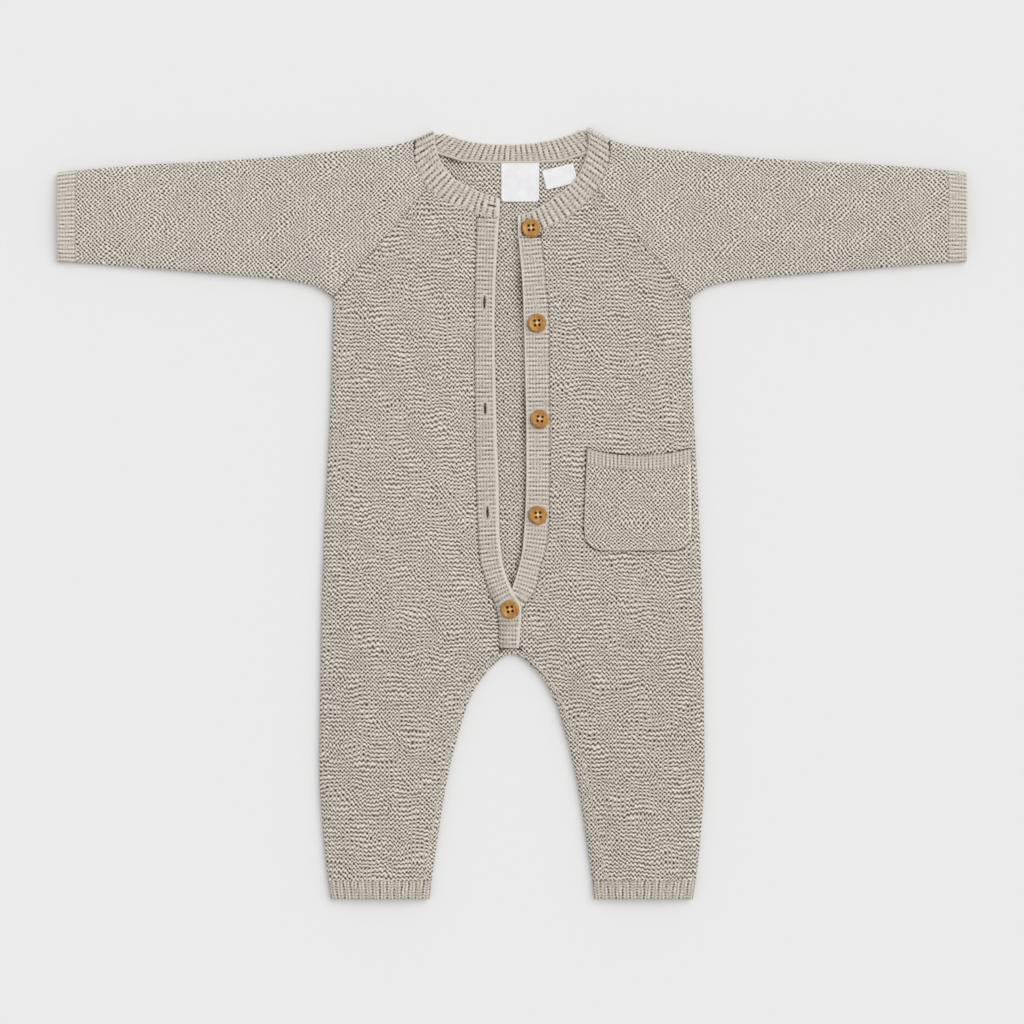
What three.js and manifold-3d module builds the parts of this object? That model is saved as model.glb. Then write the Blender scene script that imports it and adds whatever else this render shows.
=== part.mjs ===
// Knitted baby romper, laid flat with its front up.
// Millimetres, +Z up, +Y towards the neck, origin under the middle of the garment.
// "Right" and "left" are the wearer's: the right side lies at negative X.
import * as THREE from "three";
import { mergeVertices } from "three/addons/utils/BufferGeometryUtils.js";
import Module from "manifold-3d";

const wasm = await Module();
wasm.setup();

// Cloth
const wall = 2.4; // thickness of the knitted cloth
const layerGap = 1.0; // air between back and front where they lie flat
const seamGap = 0.3; // between two pieces along a seam
const foldReach = 5; // the rounding of an edge starts this far in
const middle = wall + layerGap / 2; // height of the side seams
const puffHeight = 1.6; // the front rises this much more in the middle of a leg or sleeve
const puffReach = 32;
const slantGap = 0.2; // half the gap along the raglan seam, measured across the garment
const stripGap = 0.5; // gap beside the leg strips and the neckband, measured across the garment
const edgeInsets = [0, 0.6, 2, foldReach]; // lines of points round a rounded edge
const thinAir = 0.02; // the two layers never quite touch inside an edge

// The front lies lower beside the opening, along the raglan seams and round the neck
const lowAtOpening = { from: 10, to: 50 };
const lowAtRaglan = { share: 0.25, reach: 30 };
const lowAtNeck = { y: 254, radius: 68, reach: 34 };

// Ribs
const ribRise = 0.55;
const bandRibPitch = 3.05;
const neckRibPitch = 4.8;
const cuffRibsPerFace = 11;
const hemRibsPerFace = 14;
const pocketRibs = 19;
const bandSides = { ribEnd: 0.86, holeLine: 0.36, holeRibEnd: 0.82, beadDrop: 0.5 };

// Levels along Y
const hemBottomY = -262.3;
const hemTopY = -249.7;
const underarm = { x: 121.6, y: 147 };
const raglanTopFront = { x: 57.8, y: 221 };
const bandEndY = -91.3;

// Cuffs and hems
const cuff = {
  innerX: 296.7,
  outerX: 309.4,
  upperIn: 233.9,
  lowerIn: 171.1,
  upperOut: 232.3,
  lowerOut: 171.6,
};
const hem = { sideTop: 125.1, inseamTop: 54.9, sideBottom: 123.1, inseamBottom: 56.2 };

// Buttons
const button = {
  radius: 6.25,
  thickness: 3,
  rim: 0.5,
  rimWidth: 1.3,
  rimSlope: 0.4,
  footInset: 1,
  footHeight: 0.9,
  shoulderInset: 0.8,
  shoulderHeight: 0.6,
  holeRadius: 0.8,
  holeSpacing: 1.5,
  sides: 18,
  holeSides: 6,
  lift: 0.4, // air under a button
};
const buttonPlaces = [
  { x: 12.9, y: 194.3 },
  { x: 17.0, y: 129.7 },
  { x: 19.0, y: 64.5 },
  { x: 17.7, y: -0.8 },
  { x: -1.4, y: -64.7 },
];
const slit = { length: 9, width: 1.3 };
const slitPlaces = [
  { x: -18.4, y: 143.7 },
  { x: -18.4, y: 71.3 },
  { x: -17.0, y: 0.9 },
  { x: -1.4, y: -64.7 },
];
const neckSlit = { x: -14.0, y: 209.2, length: 6, width: 1.2, turn: 75 };
const slitCut = { from: -2, depth: 20, curveSegments: 3 };

// Half width of the body and legs, from the leg ends up to the underarm
const sideRows = [
  { y: -262.3, half: 123.1 },
  { y: -249.4, half: 125.2 },
  { y: -221.8, half: 128.2 },
  { y: -181, half: 130.9 },
  { y: -126.6, half: 130.6 },
  { y: -58.6, half: 129.5 },
  { y: 9.4, half: 126.8 },
  { y: 77.4, half: 123.4 },
  { y: 147, half: 121.6 },
];

// Inner leg: distance of the fold from the middle line, and the width of the
// back's strip that wraps to the front on each leg
const inseamRows = [
  { y: -249.4, half: 54.8, stripRight: 4.8, stripLeft: 9.3 },
  { y: -221.8, half: 50.7, stripRight: 4.6, stripLeft: 8.6 },
  { y: -194.6, half: 46.6, stripRight: 3.6, stripLeft: 7.4 },
  { y: -167.4, half: 41.1, stripRight: 3.3, stripLeft: 6.6 },
  { y: -140.2, half: 33.7, stripRight: 3.3, stripLeft: 4.6 },
  { y: -126.6, half: 28.9, stripRight: 3.3, stripLeft: 3.6 },
  { y: -113, half: 21.4, stripRight: 3.4, stripLeft: 3.1 },
  { y: -104, half: 13.4, stripRight: 3.7, stripLeft: 3.3 },
  { y: -99.4, half: 8.6, stripRight: 4.0, stripLeft: 3.8 },
  { y: -97, half: 5.0, stripRight: 4.1, stripLeft: 4.1 },
  { y: -95.7, half: 0, stripRight: 4.1, stripLeft: 4.1 },
];

// Rays of the back: each starts at the inner-leg fold and runs out to the garment's edge
const legRays = [
  { foldY: -249.4, outerY: -249.4 },
  { foldY: -230, outerY: -229 },
  { foldY: -208, outerY: -206 },
  { foldY: -186, outerY: -182 },
  { foldY: -164, outerY: -156 },
  { foldY: -145, outerY: -128 },
  { foldY: -129, outerY: -92 },
  { foldY: -116, outerY: -44 },
  { foldY: -107, outerY: 18 },
  { foldY: -101.5, outerY: 84 },
];
const crotchRays = [
  { foldX: 8.2, foldY: -99.1, outerX: 121.6, outerY: 146.8 },
  { foldX: 6.6, foldY: -98, outerX: 98.0, outerY: 179.3 },
  { foldX: 5.0, foldY: -97, outerX: 73.6, outerY: 213 },
  { foldX: 3.6, foldY: -96.3, outerX: 49.5, outerY: 245.5 },
  { foldX: 2.4, foldY: -95.95, outerX: 34, outerY: 240.9 },
  { foldX: 1.2, foldY: -95.75, outerX: 18, outerY: 239.8 },
];
const middleRay = { foldX: 0, foldY: -95.7, outerX: 0, outerY: 239.6 };
const steepestRay = 0.45; // rays that run flatter along the edge are treated as this steep
const stripShares = [1, 0.55, 0.22, 0.06]; // lines of the strip, from its seam to the fold
const nearFold = [0.5, 1.8, foldReach]; // lines of the underside beside the fold
const raySpans = 6; // steps across the rest of the underside
const narrowStrip = 0.1; // the strip's inner face is at least this wide

// Sleeve edges, from the cuff to the body
const sleeveUpperRows = [
  { x: 296.4, y: 233.9 },
  { x: 242.1, y: 238.2 },
  { x: 201.3, y: 240.2 },
  { x: 160.5, y: 243.0 },
  { x: 119.7, y: 247.0 },
  { x: 82, y: 250.8 },
  { x: 67.3, y: 254.6 },
];
const sleeveLowerRows = [
  { x: 296.4, y: 171.1 },
  { x: 242.1, y: 166.8 },
  { x: 201.3, y: 163.4 },
  { x: 160.5, y: 160.0 },
  { x: 146.9, y: 158.0 },
  { x: 133.3, y: 154.4 },
  { x: 122.0, y: 147.4 },
];

// The sleeve's end on the body: along the neckband, then along the raglan seam
const sleeveFrontEnd = [
  { share: 0, x: 67.3, y: 254.6 },
  { share: 0.08, x: 67.6, y: 246.0 },
  { share: 0.125, x: 67.1, y: 241.7 },
  { share: 0.17, x: 66.3, y: 237.4 },
  { share: 0.26, x: 62.8, y: 228.2 },
  { share: 0.34, x: 58.6, y: 220.6 },
  { share: 0.5, x: 74.4, y: 202.5 },
  { share: 0.67, x: 90.2, y: 184.1 },
  { share: 0.84, x: 106.1, y: 165.8 },
  { share: 1, x: 122.0, y: 147.4 },
];
const sleeveBackEnd = [
  { share: 0, x: 67.3, y: 254.6 },
  { share: 0.08, x: 66.2, y: 249.4 },
  { share: 0.125, x: 59.4, y: 247.8 },
  { share: 0.17, x: 50.5, y: 245.5 },
  { share: 0.26, x: 58.2, y: 235.0 },
  { share: 0.34, x: 65.1, y: 225.5 },
  { share: 0.5, x: 78.9, y: 206.5 },
  { share: 0.67, x: 93.5, y: 186.5 },
  { share: 0.84, x: 108.2, y: 166.4 },
  { share: 1, x: 122.0, y: 147.4 },
];
const sleeveRows = 11;
const sleevePull = 1.6; // how late the sleeve turns towards the raglan seam
const sleeveFlat = { share: 0.25, from: 0.8 }; // it lies lower where it is sewn on
const tubePuffReach = 22;

// Neckband: edge sewn to the garment and free edge, from the right opening round to the left one
const neckFrontRight = [
  { seamX: -8.5, seamY: 201.8, freeX: -8.2, freeY: 214.2 },
  { seamX: -16.0, seamY: 202.3, freeX: -13.6, freeY: 216.2 },
  { seamX: -23.6, seamY: 203.8, freeX: -19.6, freeY: 218.2 },
  { seamX: -32.0, seamY: 207.3, freeX: -25.8, freeY: 220.6 },
  { seamX: -40.8, seamY: 211.0, freeX: -32.2, freeY: 223.8 },
  { seamX: -49.0, seamY: 215.6, freeX: -38.8, freeY: 227.8 },
  { seamX: -57.4, seamY: 221.4, freeX: -44.8, freeY: 233.6 },
  { seamX: -62.0, seamY: 228.8, freeX: -49.0, freeY: 240.8 },
  { seamX: -65.5, seamY: 237.6, freeX: -51.6, freeY: 248.4 },
  { seamX: -66.6, seamY: 245.4, freeX: -52.4, freeY: 253.4 },
];
const neckFoldRight = { seamX: -65.6, seamY: 252.2, freeX: -52.3, freeY: 258.2, outX: -0.4, outY: 0.92 };
const neckBack = [
  { seamX: -59.0, seamY: 249.4, freeX: -46.0, freeY: 259.0 },
  { seamX: -49.5, seamY: 246.1, freeX: -37.5, freeY: 256.2 },
  { seamX: -34, seamY: 241.3, freeX: -27, freeY: 253.4 },
  { seamX: -18, seamY: 240.2, freeX: -14, freeY: 251.8 },
  { seamX: 0, seamY: 240.0, freeX: 0, freeY: 251.6 },
  { seamX: 18, seamY: 240.2, freeX: 15, freeY: 252.5 },
  { seamX: 34, seamY: 241.3, freeX: 28, freeY: 255.0 },
  { seamX: 49.5, seamY: 246.1, freeX: 38.5, freeY: 258.0 },
  { seamX: 59.0, seamY: 249.4, freeX: 46.5, freeY: 261.6 },
];
const neckFoldLeft = { seamX: 65.4, seamY: 252.7, freeX: 50.8, freeY: 260.9, outX: 0.4, outY: 0.92 };
const neckLies = { outX: 0, outY: 1 }; // the strip lies on its back between the folds
const foldTurns = [0, 0.25, 0.5, 0.75, 1].map((share) => share * Math.PI);
const neckColumns = [
  { share: 0, thin: 0 },
  { share: 0.86, thin: 0 },
  { share: 1, thin: 0.75 },
];
const neckFrontLeft = [
  { seamX: 66.6, seamY: 245.4, freeX: 52.3, freeY: 254.4 },
  { seamX: 65.5, seamY: 237.4, freeX: 51.4, freeY: 247.4 },
  { seamX: 62.0, seamY: 228.6, freeX: 49.0, freeY: 238.4 },
  { seamX: 57.4, seamY: 220.6, freeX: 45.0, freeY: 230.6 },
  { seamX: 51.4, seamY: 212.4, freeX: 40.0, freeY: 224.4 },
  { seamX: 43.0, seamY: 204.9, freeX: 32.6, freeY: 218.4 },
  { seamX: 32.6, seamY: 198.8, freeX: 24.5, freeY: 212.2 },
  { seamX: 22.4, seamY: 193.6, freeX: 16.6, freeY: 207.6 },
  { seamX: 12.5, seamY: 189.6, freeX: 9.8, freeY: 204.4 },
  { seamX: 4.2, seamY: 188.2, freeX: 3.8, freeY: 203.0 },
];

// Button bands: edge sewn to the front and free edge
const buttonholeBandRows = [
  { y: -91.3, seam: -8.8, free: 4.8 },
  { y: -79, seam: -8.8, free: 5.8 },
  { y: -68.8, seam: -9.6, free: 6.5 },
  { y: -61.5, seam: -11.6, free: 5.6 },
  { y: -56, seam: -14.4, free: 2.6 },
  { y: -50, seam: -16.6, free: -0.6 },
  { y: -41.6, seam: -19.0, free: -4.0 },
  { y: -31.4, seam: -21.6, free: -6.6 },
  { y: -11, seam: -23.0, free: -8.6 },
  { y: 16.2, seam: -24.1, free: -9.0 },
  { y: 50.2, seam: -24.8, free: -10.2 },
  { y: 91, seam: -25.1, free: -11.2 },
  { y: 125, seam: -25.2, free: -11.8 },
  { y: 152.2, seam: -25.1, free: -11.3 },
  { y: 172.6, seam: -24.6, free: -10.5 },
  { y: 201.3, seam: -23.7, free: -8.7 },
];
const buttonBandRows = [
  { y: -91.3, seam: 4.4, free: -3.4 },
  { y: -78, seam: 5.0, free: -3.4 },
  { y: -66, seam: 6.6, free: -3.2 },
  { y: -60, seam: 10.0, free: -2.8 },
  { y: -55.2, seam: 13.6, free: -1.8 },
  { y: -49.8, seam: 16.4, free: 0.2 },
  { y: -43, seam: 17.9, free: 2.6 },
  { y: -36, seam: 19.4, free: 4.6 },
  { y: -26, seam: 22.4, free: 6.8 },
  { y: -11, seam: 24.6, free: 8.2 },
  { y: 16.2, seam: 25.5, free: 9.5 },
  { y: 63.8, seam: 25.5, free: 9.5 },
  { y: 97.8, seam: 25.2, free: 8.8 },
  { y: 131.8, seam: 24.8, free: 7.9 },
  { y: 159, seam: 22.8, free: 6.8 },
  { y: 187.6, seam: 19.8, free: 4.3 },
];
const overlap = { startY: -34, fullY: -54, lift: wall + seamGap + ribRise, ramp: 5 };

// Patch pocket on the left front
const pocket = {
  left: 50.6,
  right: 121.6,
  flare: 1.6, // it widens this much at the left towards its bottom
  flareRight: 0.5,
  mouthY: 44.2,
  mouthSag: 5.2,
  sagLeft: 0.85, // share of the sag that is left at the side seam
  bandHeight: 9.6,
  bandRows: 3,
  mouthLip: 0.7,
  bottomY: -25,
  corner: 13,
  rows: 9,
  thickness: 2.2,
  edgeDrop: 1.1,
  ribShare: 0.8,
};
const pocketColumns = [0, 0.02, 0.06, 0.12, 0.19, 0.35, 0.5, 0.65, 0.81, 0.88, 0.94, 0.98, 1];

// Woven labels
const neckLabel = { left: -7.4, right: 18.4, bottom: 212.4, top: 239.2, corner: 2, thickness: 0.4 };
const sizeTag = { x: 32.6, y: 229.6, width: 22, height: 13.5, turn: 14, corner: 1.2, thickness: 0.4 };

// Rows of the two fronts
const frontLevels = [
  -249.4, -232, -210, -188, -167, -149, -133, -119, -109, -102, -97, -93.4, -91.2, -80, -70, -62, -56,
  -50, -42, -34, -24, -8, 20, 55, 95, 128, 147, 160, 176, 190, 201.4, 208, 214.5, 220.4,
];
const frontSpans = 6;
const narrowShare = 0.3; // lines at the outer edge take up no more of a narrow front than this

const knit = new THREE.MeshStandardMaterial({ color: 0xb4aca2, roughness: 0.95, metalness: 0 });
const rib = new THREE.MeshStandardMaterial({ color: 0xb9b2a8, roughness: 0.95, metalness: 0 });
const wood = new THREE.MeshStandardMaterial({ color: 0xcc9a54, roughness: 0.5, metalness: 0 });
const labelCloth = new THREE.MeshStandardMaterial({ color: 0xf2f2f2, roughness: 0.6, metalness: 0 });

const romper = new THREE.Group();

// Small helpers

function mix(a, b, share) {
  return a + (b - a) * share;
}

function smooth(from, to, value) {
  return THREE.MathUtils.smoothstep(value, from, to);
}

function slopeAt(rows, place, column, i) {
  const before = rows[Math.max(i - 1, 0)];
  const after = rows[Math.min(i + 1, rows.length - 1)];
  return (after[column] - before[column]) / (after[place] - before[place]);
}

// Value of a table's column at any place between its rows, on a smooth curve through them
function along(rows, place, column, at) {
  let i = 0;
  while (i < rows.length - 2 && rows[i + 1][place] < at) i += 1;
  const low = rows[i];
  const high = rows[i + 1];
  const span = high[place] - low[place];
  const t = THREE.MathUtils.clamp((at - low[place]) / span, 0, 1);
  const startPull = slopeAt(rows, place, column, i) * span * t * (1 - t) * (1 - t);
  const endPull = slopeAt(rows, place, column, i + 1) * span * t * t * (1 - t);
  const blend = t * t * (3 - 2 * t);
  return mix(low[column], high[column], blend) + startPull - endPull;
}

// Distance of a plan point from a chain of points
function distanceTo(chain, x, y) {
  let best = Infinity;
  for (let i = 0; i + 1 < chain.length; i += 1) {
    const dx = chain[i + 1].x - chain[i].x;
    const dy = chain[i + 1].y - chain[i].y;
    const t = ((x - chain[i].x) * dx + (y - chain[i].y) * dy) / (dx * dx + dy * dy);
    const s = THREE.MathUtils.clamp(t, 0, 1);
    best = Math.min(best, Math.hypot(x - chain[i].x - s * dx, y - chain[i].y - s * dy));
  }
  return best;
}

// Closed shell between an outer and an inner net of points.
// i runs along the piece and may close on itself, j runs across it.
// The inner net may be sparser along the piece, by the factor innerEvery.
function shell({ ni, nj, outer, inner, closed = false, innerEvery = 1 }) {
  const positions = [];
  const triangles = [];
  const outerCount = closed ? ni : ni + 1;
  const innerSteps = ni / innerEvery;
  const innerCount = closed ? innerSteps : innerSteps + 1;
  for (let i = 0; i < outerCount; i += 1) {
    for (let j = 0; j <= nj; j += 1) positions.push(...outer(i, j));
  }
  for (let k = 0; k < innerCount; k += 1) {
    for (let j = 0; j <= nj; j += 1) positions.push(...inner(k * innerEvery, j));
  }
  const out = (i, j) => (i % outerCount) * (nj + 1) + j;
  const inn = (k, j) => (outerCount + (k % innerCount)) * (nj + 1) + j;
  const quad = (a, b, c, d) => triangles.push(a, b, c, a, c, d);
  for (let i = 0; i < ni; i += 1) {
    for (let j = 0; j < nj; j += 1) quad(out(i, j), out(i + 1, j), out(i + 1, j + 1), out(i, j + 1));
  }
  for (let k = 0; k < innerSteps; k += 1) {
    for (let j = 0; j < nj; j += 1) quad(inn(k, j), inn(k, j + 1), inn(k + 1, j + 1), inn(k + 1, j));
    edgeWall(k, 0, false);
    edgeWall(k, nj, true);
  }
  if (!closed) {
    for (let j = 0; j < nj; j += 1) {
      quad(out(0, j), out(0, j + 1), inn(0, j + 1), inn(0, j));
      quad(out(ni, j + 1), out(ni, j), inn(innerSteps, j), inn(innerSteps, j + 1));
    }
  }

  // Wall along one long edge, from the fine outer edge to the sparser inner one
  function edgeWall(k, j, turned) {
    const first = k * innerEvery;
    const half = Math.floor(innerEvery / 2);
    const push = (a, b, c) => (turned ? triangles.push(a, b, c) : triangles.push(a, c, b));
    for (let step = 0; step < innerEvery; step += 1) {
      const near = step < half ? inn(k, j) : inn(k + 1, j);
      push(out(first + step, j), out(first + step + 1, j), near);
    }
    push(out(first + half, j), inn(k + 1, j), inn(k, j));
  }

  const geometry = new THREE.BufferGeometry();
  geometry.setAttribute("position", new THREE.Float32BufferAttribute(positions, 3));
  geometry.setIndex(triangles);
  return facingOut(geometry);
}

function volumeOf(geometry) {
  const p = geometry.getAttribute("position");
  const index = geometry.getIndex();
  const a = new THREE.Vector3();
  const b = new THREE.Vector3();
  const c = new THREE.Vector3();
  let volume = 0;
  for (let i = 0; i < index.count; i += 3) {
    a.fromBufferAttribute(p, index.getX(i));
    b.fromBufferAttribute(p, index.getX(i + 1));
    c.fromBufferAttribute(p, index.getX(i + 2));
    volume += a.dot(b.cross(c)) / 6;
  }
  return volume;
}

function facingOut(geometry) {
  if (volumeOf(geometry) < 0) {
    const list = Array.from(geometry.getIndex().array);
    for (let i = 0; i < list.length; i += 3) [list[i + 1], list[i + 2]] = [list[i + 2], list[i + 1]];
    geometry.setIndex(list);
  }
  return geometry;
}

function mirrored(geometry) {
  const copy = geometry.clone().applyMatrix4(new THREE.Matrix4().makeScale(-1, 1, 1));
  return facingOut(copy);
}

function solidOf(geometry) {
  const bare = new THREE.BufferGeometry();
  bare.setAttribute("position", geometry.getAttribute("position").clone());
  if (geometry.getIndex()) bare.setIndex(geometry.getIndex().clone());
  const merged = mergeVertices(bare, 1e-4);
  const vertProperties = Float32Array.from(merged.getAttribute("position").array);
  const triVerts = Uint32Array.from(merged.getIndex().array);
  return new wasm.Manifold(new wasm.Mesh({ numProp: 3, vertProperties, triVerts }));
}

function geometryOf(solid) {
  const mesh = solid.getMesh();
  const geometry = new THREE.BufferGeometry();
  geometry.setAttribute("position", new THREE.Float32BufferAttribute(mesh.vertProperties, 3));
  geometry.setIndex(Array.from(mesh.triVerts));
  return geometry;
}

function add(name, geometry, material) {
  geometry.computeVertexNormals();
  const mesh = new THREE.Mesh(geometry, material);
  mesh.name = name;
  romper.add(mesh);
}

// Cross-section of the cloth at an edge: both layers round off towards the middle height

function ellipse(share) {
  const s = THREE.MathUtils.clamp(share, 0, 1);
  return Math.sqrt(1 - (1 - s) * (1 - s));
}

// Half height of the outer face at a distance from the edge
function outerHalf(distance) {
  return middle * ellipse(distance / foldReach);
}

// Half height of the inner face at a distance from the edge
function innerHalf(distance) {
  return (middle - wall) * ellipse((distance - wall) / (foldReach - wall));
}

// The inner face starts one wall in from the edge, so its points lie further in
function innerDistance(distance) {
  return distance < foldReach ? wall + (distance * (foldReach - wall)) / foldReach : distance;
}

// Plan curves of the garment

function sideHalf(y) {
  return along(sideRows, "y", "half", y);
}

function inseamHalf(y) {
  return along(inseamRows, "y", "half", y);
}

function foldChain() {
  const rightHalf = inseamRows.map((row) => ({ x: -row.half, y: row.y }));
  const leftHalf = inseamRows.map((row) => ({ x: row.half, y: row.y }));
  return [...rightHalf, ...leftHalf.slice(0, -1).reverse()];
}
const fold = foldChain();

function raglanX(y) {
  return mix(underarm.x, raglanTopFront.x, (y - underarm.y) / (raglanTopFront.y - underarm.y));
}

// Distance from the nearest rounded edge of body and legs
function edgeDistance(x, y) {
  const half = Math.abs(x);
  const toSide = y < underarm.y ? sideHalf(y) - half : Math.hypot(underarm.x - half, y - underarm.y);
  const toFold = y < 0 ? distanceTo(fold, x, y) : Infinity;
  return Math.max(0, Math.min(toSide, toFold));
}

const frontRaglan = [underarm, raglanTopFront];

// The front rises between its seams and lies low along them
function puff(x, y) {
  const fromEdge = smooth(0, puffReach, edgeDistance(x, y));
  const fromOpening = smooth(lowAtOpening.from, lowAtOpening.to, Math.abs(x));
  const toRaglan = distanceTo(frontRaglan, Math.abs(x), y);
  const fromRaglan = mix(lowAtRaglan.share, 1, smooth(0, lowAtRaglan.reach, toRaglan));
  const toNeck = Math.hypot(x, y - lowAtNeck.y) - lowAtNeck.radius;
  const fromNeck = smooth(0, lowAtNeck.reach, toNeck);
  return puffHeight * fromEdge * fromOpening * fromRaglan * fromNeck;
}

function frontTop(x, y) {
  return middle + outerHalf(edgeDistance(x, y)) + puff(x, y);
}

function frontUnder(x, y) {
  return middle + Math.max(innerHalf(edgeDistance(x, y)), seamGap / 2) + puff(x, y);
}

// Back panel, with the strip that wraps to the front along the inner legs

function backRays() {
  const half = legRays.map((row) => ({
    foldX: inseamHalf(row.foldY),
    foldY: row.foldY,
    outerX: sideHalf(row.outerY),
    outerY: row.outerY,
  }));
  half.push(...crotchRays);
  const right = half.map((ray) => ({ ...ray, foldX: -ray.foldX, outerX: -ray.outerX }));
  return [...right, middleRay, ...half.reverse()];
}

function stripWidth(x, y) {
  return along(inseamRows, "y", x < 0 ? "stripRight" : "stripLeft", y);
}

// One ray, with what its points need
function measured(ray) {
  const dx = ray.outerX - ray.foldX;
  const dy = ray.outerY - ray.foldY;
  const length = Math.hypot(dx, dy);
  return {
    ...ray,
    length,
    alongX: dx / length,
    alongY: dy / length,
    strip: stripWidth(ray.foldX, ray.foldY),
    slant: Math.max(Math.abs(dx) / length, steepestRay),
    atSide: ray.outerY < underarm.y,
  };
}

function onRay(ray, distance, z) {
  return [ray.foldX + ray.alongX * distance, ray.foldY + ray.alongY * distance, z];
}

// Column j of a ray: on the strip, beside the fold, across the back or at its outer edge
function backColumn(ray, j) {
  if (j < stripShares.length) return { zone: "strip", distance: ray.strip * stripShares[j] };
  const k = j - stripShares.length;
  if (k === 0) return { zone: "under", distance: 0 };
  if (k <= nearFold.length) return { zone: "under", distance: nearFold[k - 1] };
  const m = k - nearFold.length;
  const spanEnd = ray.length - foldReach / ray.slant;
  if (m < raySpans) return { zone: "under", distance: mix(foldReach, spanEnd, m / raySpans) };
  return { zone: "edge", inset: edgeInsets[edgeInsets.length - 1 - m + raySpans] };
}

function backOuter(ray, { zone, distance, inset }) {
  if (zone === "strip") {
    const [x, y] = onRay(ray, distance, 0);
    return [x, y, middle + outerHalf(distance) + puff(x, y)];
  }
  if (zone === "under") return onRay(ray, distance, middle - outerHalf(distance));
  const z = ray.atSide ? middle - Math.max(outerHalf(inset), seamGap / 2) : 0;
  return onRay(ray, ray.length - inset / ray.slant, z);
}

function backInner(ray, { zone, distance, inset }) {
  if (zone === "strip") {
    const width = Math.max(ray.strip, wall + narrowStrip);
    const within = mix(wall, width, distance / ray.strip);
    const [x, y] = onRay(ray, within, 0);
    return [x, y, middle + Math.max(innerHalf(within), thinAir) + puff(x, y)];
  }
  if (zone === "under") {
    const within = innerDistance(distance);
    return onRay(ray, within, middle - innerHalf(within));
  }
  const within = ray.atSide ? innerDistance(inset) : inset;
  const z = ray.atSide ? middle - Math.max(innerHalf(within), seamGap / 2) : wall;
  return onRay(ray, ray.length - within / ray.slant, z);
}

function backPanel() {
  const rays = backRays().map(measured);
  return shell({
    ni: rays.length - 1,
    nj: stripShares.length + nearFold.length + raySpans + edgeInsets.length - 1,
    outer: (i, j) => backOuter(rays[i], backColumn(rays[i], j)),
    inner: (i, j) => backInner(rays[i], backColumn(rays[i], j)),
  });
}

// Fronts

// The strip's seam on the front of a leg, as points ordered by y
function stripSeam(side) {
  const column = side < 0 ? "stripRight" : "stripLeft";
  return inseamRows.slice(0, -1).map((row, i) => {
    const next = inseamRows[i + 1];
    const before = inseamRows[Math.max(i - 1, 0)];
    const dx = next.half - before.half;
    const dy = next.y - before.y;
    const length = Math.hypot(dx, dy);
    return { x: row.half + (dy / length) * row[column], y: row.y - (dx / length) * row[column] };
  });
}
const stripSeams = { right: stripSeam(-1), left: stripSeam(1) };

// Distance of a front's inner edge from the middle line. The rows of the neckband
// that lie over the ends of the button bands don't bound it.
function frontInner(side, y) {
  const bandRows = side < 0 ? buttonholeBandRows : buttonBandRows;
  const neckRows = side < 0 ? neckFrontRight.slice(2) : neckFrontLeft.slice(0, -1).reverse();
  const bandTopY = bandRows[bandRows.length - 1].y;
  const alongBand = Math.abs(along(bandRows, "y", "seam", y)) + seamGap;
  if (y < bandEndY) {
    const seams = side < 0 ? stripSeams.right : stripSeams.left;
    return Math.max(along(seams, "y", "x", y) + stripGap, Math.abs(bandRows[0].seam) + seamGap);
  }
  if (y < bandTopY) return alongBand;
  const alongNeck = Math.abs(along(neckRows, "seamY", "seamX", y)) + stripGap + seamGap;
  return Math.max(alongBand, alongNeck);
}

function frontOuter(y) {
  return y < underarm.y ? sideHalf(y) : raglanX(y) - slantGap;
}

function frontPanel(side) {
  const lastInset = edgeInsets.length - 1;

  function inset(j, width) {
    const edgeLines = width * narrowShare;
    if (j <= lastInset) return Math.min(edgeInsets[j], (edgeLines * j) / lastInset);
    return mix(Math.min(foldReach, edgeLines), width, (j - lastInset) / frontSpans);
  }

  function outer(i, j) {
    const y = frontLevels[i];
    const edge = frontOuter(y);
    const x = side * (edge - inset(j, edge - frontInner(side, y)));
    const z = Math.max(frontTop(x, y), middle + seamGap / 2);
    return [x, y, z];
  }

  function inner(i, j) {
    const y = frontLevels[i];
    const edge = frontOuter(y);
    const d = inset(j, edge - frontInner(side, y));
    const x = side * (edge - (y < underarm.y ? innerDistance(d) : d));
    return [x, y, frontUnder(x, y)];
  }

  return shell({ ni: frontLevels.length - 1, nj: lastInset + frontSpans, outer, inner });
}

// Flattened tube between two folded edges, with or without ribs along it

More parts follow.
